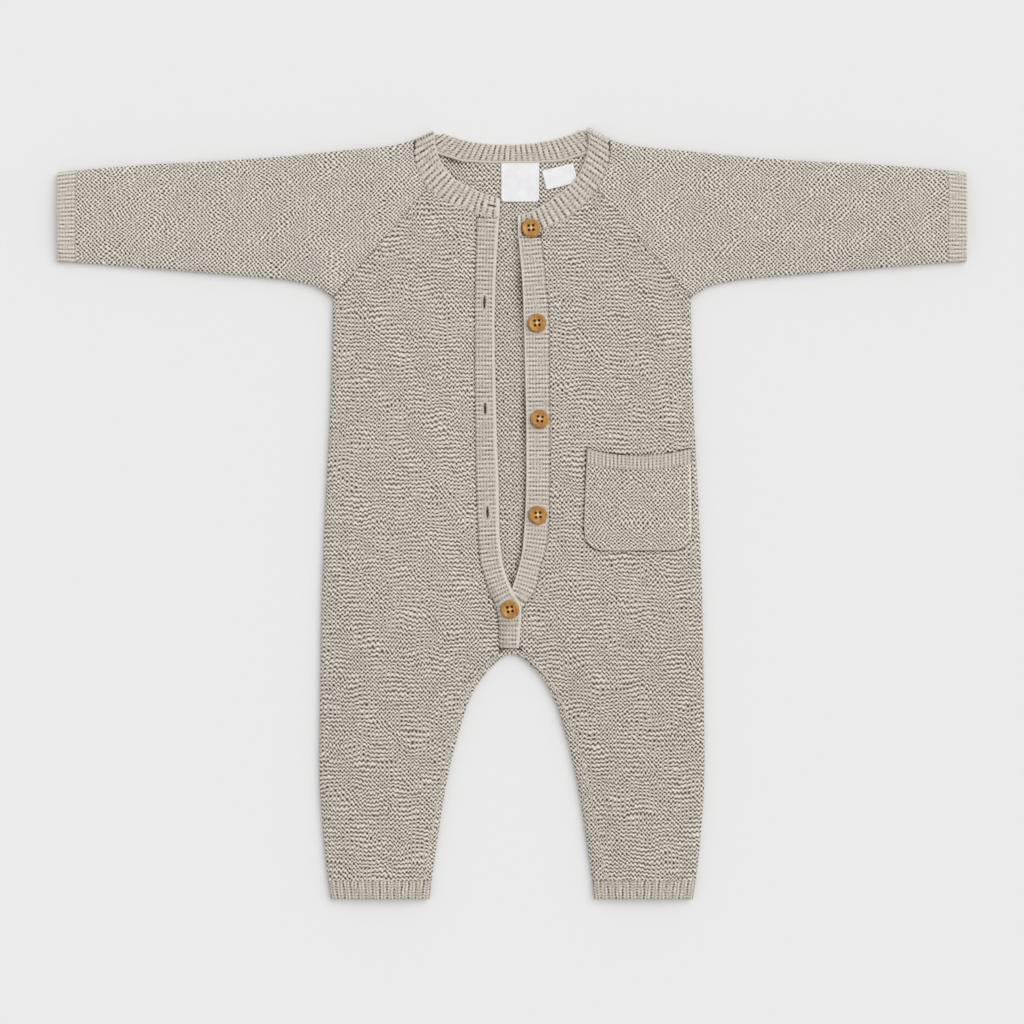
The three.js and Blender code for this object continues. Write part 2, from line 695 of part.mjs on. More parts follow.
function flatTube({ edgeA, edgeB, rows, shares = [], ribs = 0, endOf = null }) {
  const perFace = ribs ? 2 * ribs : 2 * edgeInsets.length - 1 + shares.length;

  // Distance of column j from edge A
  function across(j, width) {
    if (ribs) return (j / perFace) * width;
    const last = edgeInsets.length - 1;
    if (j <= last) return edgeInsets[j];
    if (j >= perFace - last) return width - edgeInsets[perFace - j];
    return width * shares[j - last - 1];
  }

  function halfHeight(nearer, face, ridge) {
    if (face === "outer") return outerHalf(nearer) + ridge;
    return Math.max(innerHalf(innerDistance(nearer)), thinAir);
  }

  function point(i, row, face) {
    const front = i < perFace || i === 2 * perFace;
    const j = front ? i % (2 * perFace) : 2 * perFace - i;
    const t = row / rows;
    const a = edgeA(t);
    const b = edgeB(t);
    const width = Math.hypot(a.x - b.x, a.y - b.y);
    let d = across(j, width);
    const nearer = Math.min(d, width - d);
    if (face === "inner") {
      const moved = innerDistance(nearer);
      d = d < width / 2 ? moved : width - moved;
    }
    const share = d / width;
    const shift = endOf ? endOf(t, share, front) : { x: 0, y: 0 };
    const x = mix(a.x, b.x, share) + shift.x;
    const y = mix(a.y, b.y, share) + shift.y;
    const sewnOn = endOf ? mix(1, sleeveFlat.share, smooth(sleeveFlat.from, 1, t)) : 1;
    const lift = puffHeight * smooth(0, tubePuffReach, nearer) * sewnOn;
    const ridge = ribs && front && i % 2 === 1 ? ribRise : 0;
    const half = halfHeight(nearer, face, ridge);
    return [x, y, middle + (front ? half + lift : -half)];
  }

  return shell({
    ni: 2 * perFace,
    nj: rows,
    closed: true,
    innerEvery: ribs ? 2 : 1,
    outer: (i, row) => point(i, row, "outer"),
    inner: (i, row) => point(i, row, "inner"),
  });
}

function edgePoint(rows, t) {
  const ordered = [...rows].reverse();
  const x = mix(rows[0].x, rows[rows.length - 1].x, t);
  return { x, y: along(ordered, "x", "y", x) };
}

function sleeve() {
  const edgeA = (t) => edgePoint(sleeveUpperRows, t);
  const edgeB = (t) => edgePoint(sleeveLowerRows, t);
  const endA = edgeA(1);
  const endB = edgeB(1);

  // Straight pieces between the rows, so that the corner at the neckband stays sharp
  function endPoint(rows, share) {
    let i = 0;
    while (i < rows.length - 2 && rows[i + 1].share < share) i += 1;
    const s = (share - rows[i].share) / (rows[i + 1].share - rows[i].share);
    return { x: mix(rows[i].x, rows[i + 1].x, s), y: mix(rows[i].y, rows[i + 1].y, s) };
  }

  function endOf(t, share, front) {
    const end = endPoint(front ? sleeveFrontEnd : sleeveBackEnd, share);
    const pull = Math.pow(t, sleevePull);
    return {
      x: pull * (end.x - mix(endA.x, endB.x, share)),
      y: pull * (end.y - mix(endA.y, endB.y, share)),
    };
  }

  const shares = sleeveFrontEnd.slice(1, -1).map((row) => row.share);
  return flatTube({ edgeA, edgeB, rows: sleeveRows, shares, endOf });
}

function sleeveCuff() {
  const edgeA = (t) => ({ x: mix(cuff.innerX, cuff.outerX, t), y: mix(cuff.upperIn, cuff.upperOut, t) });
  const edgeB = (t) => ({ x: mix(cuff.innerX, cuff.outerX, t), y: mix(cuff.lowerIn, cuff.lowerOut, t) });
  return flatTube({ edgeA, edgeB, rows: 2, ribs: cuffRibsPerFace });
}

function legHem() {
  const edgeA = (t) => ({ x: mix(hem.sideTop, hem.sideBottom, t), y: mix(hemTopY, hemBottomY, t) });
  const edgeB = (t) => ({ x: mix(hem.inseamTop, hem.inseamBottom, t), y: mix(hemTopY, hemBottomY, t) });
  return flatTube({ edgeA, edgeB, rows: 2, ribs: hemRibsPerFace });
}

// Neckband: one ribbed strip, folded at both shoulders

// A row of the strip where its face has turned over by the angle turn
function neckStation(row, turn, { outX, outY }) {
  const reach = middle - wall / 2;
  const moveX = outX * reach * Math.sin(turn);
  const moveY = outY * reach * Math.sin(turn);
  return {
    seamX: row.seamX + moveX,
    seamY: row.seamY + moveY,
    freeX: row.freeX + moveX,
    freeY: row.freeY + moveY,
    z: middle + reach * Math.cos(turn),
    turn,
    outX,
    outY,
  };
}

function neckStations() {
  const turnsBack = [...foldTurns].reverse();
  return [
    ...neckFrontRight.map((row) => neckStation(row, 0, neckFoldRight)),
    ...foldTurns.map((turn) => neckStation(neckFoldRight, turn, neckFoldRight)),
    ...neckBack.map((row) => neckStation(row, Math.PI, neckLies)),
    ...turnsBack.map((turn) => neckStation(neckFoldLeft, turn, neckFoldLeft)),
    ...neckFrontLeft.map((row) => neckStation(row, 0, neckFoldLeft)),
  ];
}

// Each station's distance along the strip
function withRun(stations) {
  let run = 0;
  return stations.map((row, i) => {
    const before = stations[Math.max(i - 1, 0)];
    const rise = row.z - before.z;
    const seamStep = Math.hypot(row.seamX - before.seamX, row.seamY - before.seamY, rise);
    const freeStep = Math.hypot(row.freeX - before.freeX, row.freeY - before.freeY, rise);
    run += (seamStep + freeStep) / 2;
    return { ...row, run };
  });
}

function neckbandStrip() {
  const stations = withRun(neckStations());
  const { run } = stations[stations.length - 1];
  const ni = 2 * Math.round(run / neckRibPitch);

  function point(i, j, face) {
    const read = (column) => linear(stations, "run", column, (i / ni) * run);
    const { share, thin } = neckColumns[j];
    const turn = read("turn");
    const out = new THREE.Vector2(read("outX"), read("outY")).normalize();
    const sideways = Math.sin(turn);
    const facing = face === "outer" ? 1 : -1;
    const upward = Math.max(0, facing * Math.cos(turn));
    const ridge = i % 2 === 1 && j > 0 ? ribRise : 0;
    const offset = facing * (wall / 2 + (ridge - thin) * upward);
    return [
      mix(read("seamX"), read("freeX"), share) + out.x * sideways * offset,
      mix(read("seamY"), read("freeY"), share) + out.y * sideways * offset,
      read("z") + Math.cos(turn) * offset,
    ];
  }

  return shell({
    ni,
    nj: neckColumns.length - 1,
    outer: (i, j) => point(i, j, "outer"),
    inner: (i, j) => point(i, j, "inner"),
  });
}

function linear(rows, place, column, at) {
  let i = 0;
  while (i < rows.length - 2 && rows[i + 1][place] < at) i += 1;
  const t = (at - rows[i][place]) / (rows[i + 1][place] - rows[i][place]);
  return mix(rows[i][column], rows[i + 1][column], THREE.MathUtils.clamp(t, 0, 1));
}

// Button bands

// The buttonhole band climbs over the button band above the crotch
function bandLift(rows, x, y) {
  if (rows !== buttonholeBandRows) return 0;
  const byLength = 1 - smooth(overlap.fullY, overlap.startY, y);
  const seam = along(rows, "y", "seam", y);
  const byWidth = smooth(0, overlap.ramp, x - seam);
  return overlap.lift * byLength * byWidth;
}

function bandTop(rows, x, y) {
  return frontTop(x, y) + bandLift(rows, x, y);
}

function ribbedBand(rows, shares) {
  const low = rows[0].y;
  const high = rows[rows.length - 1].y;
  const ribs = 2 * Math.round((high - low) / bandRibPitch / 2);
  const ni = 2 * ribs;

  function place(i, j) {
    const y = mix(low, high, i / ni);
    const x = mix(along(rows, "y", "seam", y), along(rows, "y", "free", y), shares[j]);
    return { x, y };
  }

  function outer(i, j) {
    const { x, y } = place(i, j);
    const bead = j === shares.length - 1;
    const ridge = i % 2 === 1 ? ribRise : 0;
    return [x, y, bandTop(rows, x, y) + (bead ? -bandSides.beadDrop : ridge)];
  }

  function inner(i, j) {
    const { x, y } = place(i, j);
    return [x, y, bandTop(rows, x, y) - wall];
  }

  return shell({ ni, nj: shares.length - 1, outer, inner, innerEvery: 4 });
}

function slitCutter({ x, y, length, width, turn = 0 }) {
  const shape = new THREE.Shape();
  const end = (length - width) / 2;
  shape.absarc(0, end, width / 2, 0, Math.PI, false);
  shape.absarc(0, -end, width / 2, Math.PI, 2 * Math.PI, false);
  shape.closePath();
  const { depth, curveSegments } = slitCut;
  const geometry = new THREE.ExtrudeGeometry(shape, { depth, bevelEnabled: false, curveSegments });
  geometry.rotateZ(THREE.MathUtils.degToRad(turn));
  geometry.translate(x, y, slitCut.from);
  return solidOf(geometry);
}

function withSlits(geometry, slits) {
  const cut = slits.reduce((solid, place) => solid.subtract(slitCutter(place)), solidOf(geometry));
  return geometryOf(cut);
}

// Pocket

// The pocket's mouth sags between its corners
function mouthY(u) {
  return pocket.mouthY - pocket.mouthSag * 4 * u * (1 - u) * mix(1, pocket.sagLeft, u);
}

function pocketBottom(u) {
  const { left, right } = pocketSides(pocket.bottomY + pocket.corner);
  const fromSide = Math.min(u, 1 - u) * (right - left);
  const inCorner = Math.max(0, pocket.corner - fromSide);
  return pocket.bottomY + pocket.corner - Math.sqrt(pocket.corner ** 2 - inCorner ** 2);
}

function pocketSides(y) {
  const down = 1 - smooth(pocket.bottomY + pocket.corner, pocket.mouthY, y);
  return { left: pocket.left - pocket.flare * down, right: pocket.right + pocket.flareRight * down };
}

// Both pieces of the pocket are made from the front's own points, moved out
function pocketSheet({ us, ni, topOf, bottomOf, sunkAt }) {
  function place(i, j) {
    const y = mix(topOf(us[j]), bottomOf(us[j]), i / ni);
    const { left, right } = pocketSides(y);
    return { x: mix(left, right, us[j]), y };
  }

  function height(i, j, over) {
    const { x, y } = place(i, j);
    return [x, y, frontTop(x, y) + seamGap + over];
  }

  return shell({
    ni,
    nj: us.length - 1,
    outer: (i, j) => height(i, j, pocket.thickness - sunkAt(i, j)),
    inner: (i, j) => height(i, j, 0),
  });
}

function pocketBody() {
  const us = pocketColumns;
  const ni = pocket.rows;
  const topOf = (u) => mouthY(u) - pocket.bandHeight - seamGap;
  const sunkAt = (i, j) => (j === 0 || j === us.length - 1 || i === ni ? pocket.edgeDrop : 0);
  return pocketSheet({ us, ni, topOf, bottomOf: pocketBottom, sunkAt });
}

function pocketRibBand() {
  const steps = 2 * pocketRibs;
  const us = Array.from({ length: steps + 1 }, (_, k) => k / steps);
  const bottomOf = (u) => mouthY(u) - pocket.bandHeight;

  function sunkAt(i, j) {
    if (i === 0) return pocket.mouthLip;
    return j % 2 === 1 ? -ribRise * pocket.ribShare : 0;
  }

  return pocketSheet({ us, ni: pocket.bandRows, topOf: mouthY, bottomOf, sunkAt });
}

// Wooden button with a raised rim and four holes, lying on the band

function buttonSolid() {
  const { radius, thickness, rimWidth, holeRadius, holeSpacing } = button;
  const dish = thickness - button.rim;
  const profile = [
    new THREE.Vector2(0, 0),
    new THREE.Vector2(radius - button.footInset, 0),
    new THREE.Vector2(radius, button.footHeight),
    new THREE.Vector2(radius, thickness - button.shoulderHeight),
    new THREE.Vector2(radius - button.shoulderInset, thickness),
    new THREE.Vector2(radius - rimWidth - button.rimSlope, dish),
    new THREE.Vector2(0, dish),
  ];
  const body = new THREE.LatheGeometry(profile, button.sides).rotateX(Math.PI / 2);
  let solid = solidOf(facingOut(body));
  for (const sx of [-1, 1]) {
    for (const sy of [-1, 1]) {
      const hole = new THREE.CylinderGeometry(holeRadius, holeRadius, 4 * thickness, button.holeSides);
      hole.rotateX(Math.PI / 2);
      hole.translate(sx * holeSpacing, sy * holeSpacing, 0);
      solid = solid.subtract(solidOf(hole));
    }
  }
  return geometryOf(solid);
}

// The top button lies on the neckband, the others on their bands
function buttonHeight({ x, y }, fastened) {
  const rows = fastened ? buttonholeBandRows : buttonBandRows;
  const neckEnd = neckFrontLeft[neckFrontLeft.length - 1];
  const base = y > neckEnd.seamY ? 2 * middle : bandTop(rows, x, y);
  return base + ribRise + button.lift;
}

// Woven labels, lying on the inside of the back

function labelSolid({ width, height, corner, thickness }) {
  const shape = new THREE.Shape();
  const w = width / 2;
  const h = height / 2;
  shape.moveTo(-w, h);
  shape.lineTo(-w, -h + corner);
  shape.absarc(-w + corner, -h + corner, corner, Math.PI, 1.5 * Math.PI, false);
  shape.absarc(w - corner, -h + corner, corner, 1.5 * Math.PI, 2 * Math.PI, false);
  shape.lineTo(w, h);
  shape.closePath();
  return new THREE.ExtrudeGeometry(shape, { depth: thickness, bevelEnabled: false, curveSegments: 4 });
}

function neckLabelSolid() {
  const width = neckLabel.right - neckLabel.left;
  const height = neckLabel.top - neckLabel.bottom;
  const geometry = labelSolid({ ...neckLabel, width, height });
  const x = (neckLabel.left + neckLabel.right) / 2;
  const y = (neckLabel.bottom + neckLabel.top) / 2;
  return geometry.translate(x, y, wall + seamGap);
}

function sizeTagSolid() {
  const geometry = labelSolid(sizeTag);
  geometry.rotateZ(THREE.MathUtils.degToRad(sizeTag.turn));
  return geometry.translate(sizeTag.x, sizeTag.y, wall + seamGap);
}

// The whole garment

add("back", backPanel(), knit);
add("front_right", frontPanel(-1), knit);
add("front_left", frontPanel(1), knit);
const leftSleeve = sleeve();
add("sleeve_right", mirrored(leftSleeve), knit);
add("sleeve_left", leftSleeve, knit);
const leftCuff = sleeveCuff();
add("cuff_right", mirrored(leftCuff), rib);
add("cuff_left", leftCuff, rib);
const leftHem = legHem();
add("leg_hem_right", mirrored(leftHem), rib);
add("leg_hem_left", leftHem, rib);
add("neckband", withSlits(neckbandStrip(), [neckSlit]), rib);
const bandSlits = slitPlaces.map((place) => ({ ...place, ...slit }));
const plainBand = ribbedBand(buttonholeBandRows, [0, bandSides.holeLine, bandSides.holeRibEnd, 1]);
add("buttonhole_band", withSlits(plainBand, bandSlits), rib);
add("button_band", ribbedBand(buttonBandRows, [0, bandSides.ribEnd, 1]), rib);
add("pocket", pocketBody(), knit);
add("pocket_band", pocketRibBand(), rib);
buttonPlaces.forEach((place, i) => {
  const geometry = buttonSolid();
  geometry.translate(place.x, place.y, buttonHeight(place, i === buttonPlaces.length - 1));
  add(`button_${i + 1}`, geometry, wood);
});
add("neck_label", neckLabelSolid(), labelCloth);
add("size_tag", sizeTagSolid(), labelCloth);

// The garment's middle is moved onto the origin
const box = new THREE.Box3().setFromObject(romper);
const middleY = (box.min.y + box.max.y) / 2;
romper.children.forEach((mesh) => mesh.geometry.translate(0, -middleY, 0));

export default romper;
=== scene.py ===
# Knitted baby romper with wooden buttons, laid flat with its front up.
# Sizes are millimetres until a mesh is made. +Y points to the neck, +Z up from the floor.
import math

import bmesh
import bpy
import numpy as np
from mathutils import Matrix, Vector


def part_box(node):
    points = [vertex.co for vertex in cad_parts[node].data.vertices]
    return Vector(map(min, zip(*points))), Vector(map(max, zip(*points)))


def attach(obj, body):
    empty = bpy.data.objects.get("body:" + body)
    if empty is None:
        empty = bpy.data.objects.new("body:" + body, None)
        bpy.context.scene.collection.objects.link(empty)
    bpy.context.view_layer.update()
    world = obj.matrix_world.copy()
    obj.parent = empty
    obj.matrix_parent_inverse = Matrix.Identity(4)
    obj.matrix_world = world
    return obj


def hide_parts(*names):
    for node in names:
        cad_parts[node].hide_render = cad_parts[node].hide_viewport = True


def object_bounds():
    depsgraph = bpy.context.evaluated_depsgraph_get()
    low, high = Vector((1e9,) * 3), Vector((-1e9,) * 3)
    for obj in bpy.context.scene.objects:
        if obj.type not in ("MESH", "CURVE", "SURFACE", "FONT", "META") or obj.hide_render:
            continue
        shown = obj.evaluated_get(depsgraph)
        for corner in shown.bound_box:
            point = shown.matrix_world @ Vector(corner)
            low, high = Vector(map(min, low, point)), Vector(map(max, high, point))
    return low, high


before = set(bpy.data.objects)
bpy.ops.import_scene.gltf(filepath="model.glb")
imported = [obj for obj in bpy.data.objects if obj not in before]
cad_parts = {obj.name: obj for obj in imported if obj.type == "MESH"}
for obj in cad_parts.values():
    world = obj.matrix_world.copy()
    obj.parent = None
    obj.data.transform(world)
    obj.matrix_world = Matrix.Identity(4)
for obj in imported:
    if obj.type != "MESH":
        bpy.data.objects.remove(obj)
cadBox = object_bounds()

fullTurn = 2 * math.pi
millimetre = 0.001
hemEndY = -262.3
originY = cadBox[0][1] / millimetre - hemEndY  # the tables below are measured from here

# The cloth and how it lies
cloth = {
    "wall": 2.4,  # thickness of the knit
    "middle": 2.9,  # height of the side seams
    "foldReach": 5,  # an edge rounds off over this much
    "seamGap": 0.3,
    "visibleGap": 0.12,  # what stays open where two edges are sewn together
    "puffHeight": 1.6,
    "puffReach": 32,
    "ribRise": 0.5,
}
wall = cloth["wall"]
middle = cloth["middle"]
foldReach = cloth["foldReach"]
seamGap = cloth["seamGap"]
ribRise = cloth["ribRise"]

underarm = (121.6, 147)
raglanTop = (57.8, 221)
bandEndY = -91.3
hemTopY = -249.4

# Half width of body and legs
side = {
    "y": [hemEndY, -249.4, -221.8, -181, -126.6, -58.6, 9.4, 77.4, 147],
    "half": [123.1, 125.2, 128.2, 130.9, 130.6, 129.5, 126.8, 123.4, 121.6],
}

# Inner leg: distance of the fold from the middle line, and the back's strip that wraps round it
inseam = {
    "y": [-249.4, -221.8, -194.6, -167.4, -140.2, -126.6, -113, -104, -99.4, -97, -95.7],
    "half": [54.8, 50.7, 46.6, 41.1, 33.7, 28.9, 21.4, 13.4, 8.6, 5.0, 0],
    "stripRight": [4.8, 4.6, 3.6, 3.3, 3.3, 3.3, 3.4, 3.7, 4.0, 4.1, 4.1],
    "stripLeft": [9.3, 8.6, 7.4, 6.6, 4.6, 3.6, 3.1, 3.3, 3.8, 4.1, 4.1],
}

# Button bands: the edge sewn to the front, and the free edge
buttonholeBand = {
    "y": [-91.3, -79, -68.8, -61.5, -56, -50, -41.6, -31.4, -11, 16.2, 50.2, 91, 125, 152.2, 172.6, 201.3],
    "seam": [-8.8, -8.8, -9.6, -11.6, -14.4, -16.6, -19, -21.6, -23, -24.1, -24.8, -25.1,
             -25.2, -25.1, -24.6, -23.7],
    "free": [4.8, 5.8, 6.5, 5.6, 2.6, -0.6, -4, -6.6, -8.6, -9, -10.2, -11.2, -11.8, -11.3, -10.5, -8.7],
}
buttonBand = {
    "y": [-91.3, -78, -66, -60, -55.2, -49.8, -43, -36, -26, -11, 16.2, 63.8, 97.8, 131.8, 159, 187.6],
    "seam": [4.4, 5, 6.6, 10, 13.6, 16.4, 17.9, 19.4, 22.4, 24.6, 25.5, 25.5, 25.2, 24.8, 22.8, 19.8],
    "free": [-3.4, -3.4, -3.2, -2.8, -1.8, 0.2, 2.6, 4.6, 6.8, 8.2, 9.5, 9.5, 8.8, 7.9, 6.8, 4.3],
}
overlap = {"startY": -34, "fullY": -54, "lift": wall + seamGap + ribRise, "ramp": 5}

# Neckband: its sewn edge and its free edge, from the right opening round to the left one
neckFrontRight = [
    (-8.5, 201.8, -8.2, 214.2),
    (-16.0, 202.3, -13.6, 216.2),
    (-23.6, 203.8, -19.6, 218.2),
    (-32.0, 207.3, -25.8, 220.6),
    (-40.8, 211.0, -32.2, 223.8),
    (-49.0, 215.6, -38.8, 227.8),
    (-57.4, 221.4, -44.8, 233.6),
    (-62.0, 228.8, -49.0, 240.8),
    (-65.5, 237.6, -51.6, 248.4),
    (-66.6, 245.4, -52.4, 253.4),
]
neckFoldRight = (-65.6, 252.2, -52.3, 258.2)
neckBack = [
    (-59.0, 249.4, -46.0, 259.0),
    (-49.5, 246.1, -37.5, 256.2),
    (-34, 241.3, -27, 253.4),
    (-18, 240.2, -14, 251.8),
    (0, 240.0, 0, 251.6),
    (18, 240.2, 15, 252.5),
    (34, 241.3, 28, 255.0),
    (49.5, 246.1, 38.5, 258.0),
    (59.0, 249.4, 46.5, 261.6),
]
neckFoldLeft = (65.4, 252.7, 50.8, 260.9)
neckFrontLeft = [
    (66.6, 245.4, 52.3, 254.4),
    (65.5, 237.4, 51.4, 247.4),
    (62.0, 228.6, 49.0, 238.4),
    (57.4, 220.6, 45.0, 230.6),
    (51.4, 212.4, 40.0, 224.4),
    (43.0, 204.9, 32.6, 218.4),
    (32.6, 198.8, 24.5, 212.2),
    (22.4, 193.6, 16.6, 207.6),
    (12.5, 189.6, 9.8, 204.4),
    (4.2, 188.2, 3.8, 203.0),
]

# Soft creases pressed into the upper layer: start, end, half width, height
creases = [
    ((-137, 190), (-125, 156), 4.5, 0.8),
    ((-119, 147), (-88, 172), 5, 0.7),
    ((82, 236), (107, 158), 6, 0.9),
    ((121, 149), (136, 178), 5, 0.7),
    ((-30, -60), (-62, -105), 9, 0.5),
    ((24, -66), (58, -112), 9, 0.5),
]


def mix(a, b, share):
    return a + (b - a) * share


def smooth(low, high, value):
    t = np.clip((value - low) / (high - low), 0, 1)
    return t * t * (3 - 2 * t)


# A table's value at any place, on a smooth curve through its rows
def along(places, values, at):
    places = np.asarray(places, float)
    values = np.asarray(values, float)
    at = np.asarray(at, float)
    before = np.maximum(np.arange(len(places)) - 1, 0)
    after = np.minimum(np.arange(len(places)) + 1, len(places) - 1)
    slopes = (values[after] - values[before]) / (places[after] - places[before])
    i = np.clip(np.searchsorted(places, at) - 1, 0, len(places) - 2)
    span = places[i + 1] - places[i]
    t = np.clip((at - places[i]) / span, 0, 1)
    pull = slopes[i] * span * t * (1 - t) ** 2 - slopes[i + 1] * span * t * t * (1 - t)
    return mix(values[i], values[i + 1], t * t * (3 - 2 * t)) + pull


# 1 on a line, fading out on both sides of it
def near(distance, reach):
    return np.exp(-((distance / reach) ** 2))


def distanceTo(chain, x, y):
    best = np.full(np.shape(x), np.inf)
    for (ax, ay), (bx, by) in zip(chain[:-1], chain[1:]):
        dx, dy = bx - ax, by - ay
        t = np.clip(((x - ax) * dx + (y - ay) * dy) / (dx * dx + dy * dy), 0, 1)
        best = np.minimum(best, np.hypot(x - ax - t * dx, y - ay - t * dy))
    return best


# Slow, repeatable unevenness between about -1 and 1
def drift(x, y, scale, seed):
    rng = np.random.default_rng(seed)
    total = np.zeros(np.shape(x))
    ranges = ((0, fullTurn), (0, fullTurn), (0.7, 1.5))
    turns, phases, sizes = [rng.uniform(low, high, 6) for low, high in ranges]
    for turn, phase, size in zip(turns, phases, sizes):
        total += np.sin((x * math.cos(turn) + y * math.sin(turn)) * fullTurn / (scale * size) + phase)
    return total / 2.4


def ellipse(share):
    s = np.clip(share, 0, 1)
    return np.sqrt(1 - (1 - s) ** 2)


def outerHalf(distance):
    return middle * ellipse(distance / foldReach)


def innerHalf(distance):
    return (middle - wall) * ellipse((distance - wall) / (foldReach - wall))


def innerDistance(distance):
    return np.where(distance < foldReach, wall + distance * (foldReach - wall) / foldReach, distance)


def sideHalf(y):
    return along(side["y"], side["half"], y)


legFold = [(-half, y) for half, y in zip(inseam["half"], inseam["y"])]
legFold += [(-x, y) for x, y in legFold[-2::-1]]


def edgeDistance(x, y):
    toUnderarm = np.hypot(underarm[0] - np.abs(x), y - underarm[1])
    toSide = np.where(y < underarm[1], sideHalf(y) - np.abs(x), toUnderarm)
    toFold = np.where(y < 0, distanceTo(legFold, x, y), np.inf)
    return np.maximum(0, np.minimum(toSide, toFold))


def puff(x, y):
    fromEdge = smooth(0, cloth["puffReach"], edgeDistance(x, y))
    fromOpening = smooth(10, 50, np.abs(x))
    fromRaglan = mix(0.25, 1, smooth(0, 30, distanceTo([underarm, raglanTop], np.abs(x), y)))
    fromNeck = smooth(0, 34, np.hypot(x, y - 254) - 68)
    return cloth["puffHeight"] * fromEdge * fromOpening * fromRaglan * fromNeck


def creaseHeight(x, y):
    total = np.zeros(np.shape(x))
    for start, end, halfWidth, height in creases:
        total += height * near(distanceTo([start, end], x, y), halfWidth)
    return total


# Gentle waves of cloth that was smoothed out by hand
def drape(x, y):
    wave = 0.35 + 0.35 * drift(x, y, 95, 4) + 0.15 * drift(x, y, 38, 9)
    return np.maximum(wave, 0) * smooth(4, 26, edgeDistance(x, y)) * smooth(26, 52, np.abs(x))


def frontTop(x, y):
    return middle + outerHalf(edgeDistance(x, y)) + puff(x, y) + drape(x, y)


def frontUnder(x, y):
    return middle + np.maximum(innerHalf(edgeDistance(x, y)), seamGap / 2) + puff(x, y) + drape(x, y)


# Garter knit: rows of purl bumps, which read as a lattice of dark holes between slanting strands
garter = {
    "stitch": 2.83,
    "row": 3.0,
    "relief": 0.24,
    "wander": 0.25,
    "slantReach": 17,
    "slant": 0.54,
    "slantMost": 0.1,  # how far one strand may outweigh the other
    "ridgeReach": 26,
}
# Each piece's seed, and how much its rows show as ridges
knits = {"front": (21, 0.33), "back": (5, 0.2), "pocket": (61, 0.15), "sleeve": (33, 0.12)}


# Cells of the knit at a plan point: across the stitches, along the rows, which strand shows more,
# and how much the rows show as ridges
def knitCells(across, up, seed, ridgeMean):
    cellU = across / garter["stitch"] + garter["wander"] * drift(across, up, 31, seed)
    cellV = up / garter["row"] + garter["wander"] * drift(across, up, 27, seed + 1)
    uneven = np.clip(1.3 * drift(across, up, garter["slantReach"], seed + 2), -1, 1)
    slant = garter["slant"] + garter["slantMost"] * uneven
    ridge = ridgeMean * (1 + 0.4 * np.clip(drift(across, up, garter["ridgeReach"], seed + 3), -1, 1))
    return cellU, cellV, slant, ridge


def knitRelief(cellU, cellV, slant, ridge):
    rising = np.cos(fullTurn * (cellU + cellV))
    falling = np.cos(fullTurn * (cellU - cellV))
    strands = mix(falling, rising, slant) * (1 - 0.8 * ridge)
    return garter["relief"] * (strands + ridge * np.sin(fullTurn * cellV))


# The height of ribs, 0 in the grooves and 1 on the ribs
def ribWave(phase):
    return 0.5 - 0.5 * np.cos(fullTurn * phase)


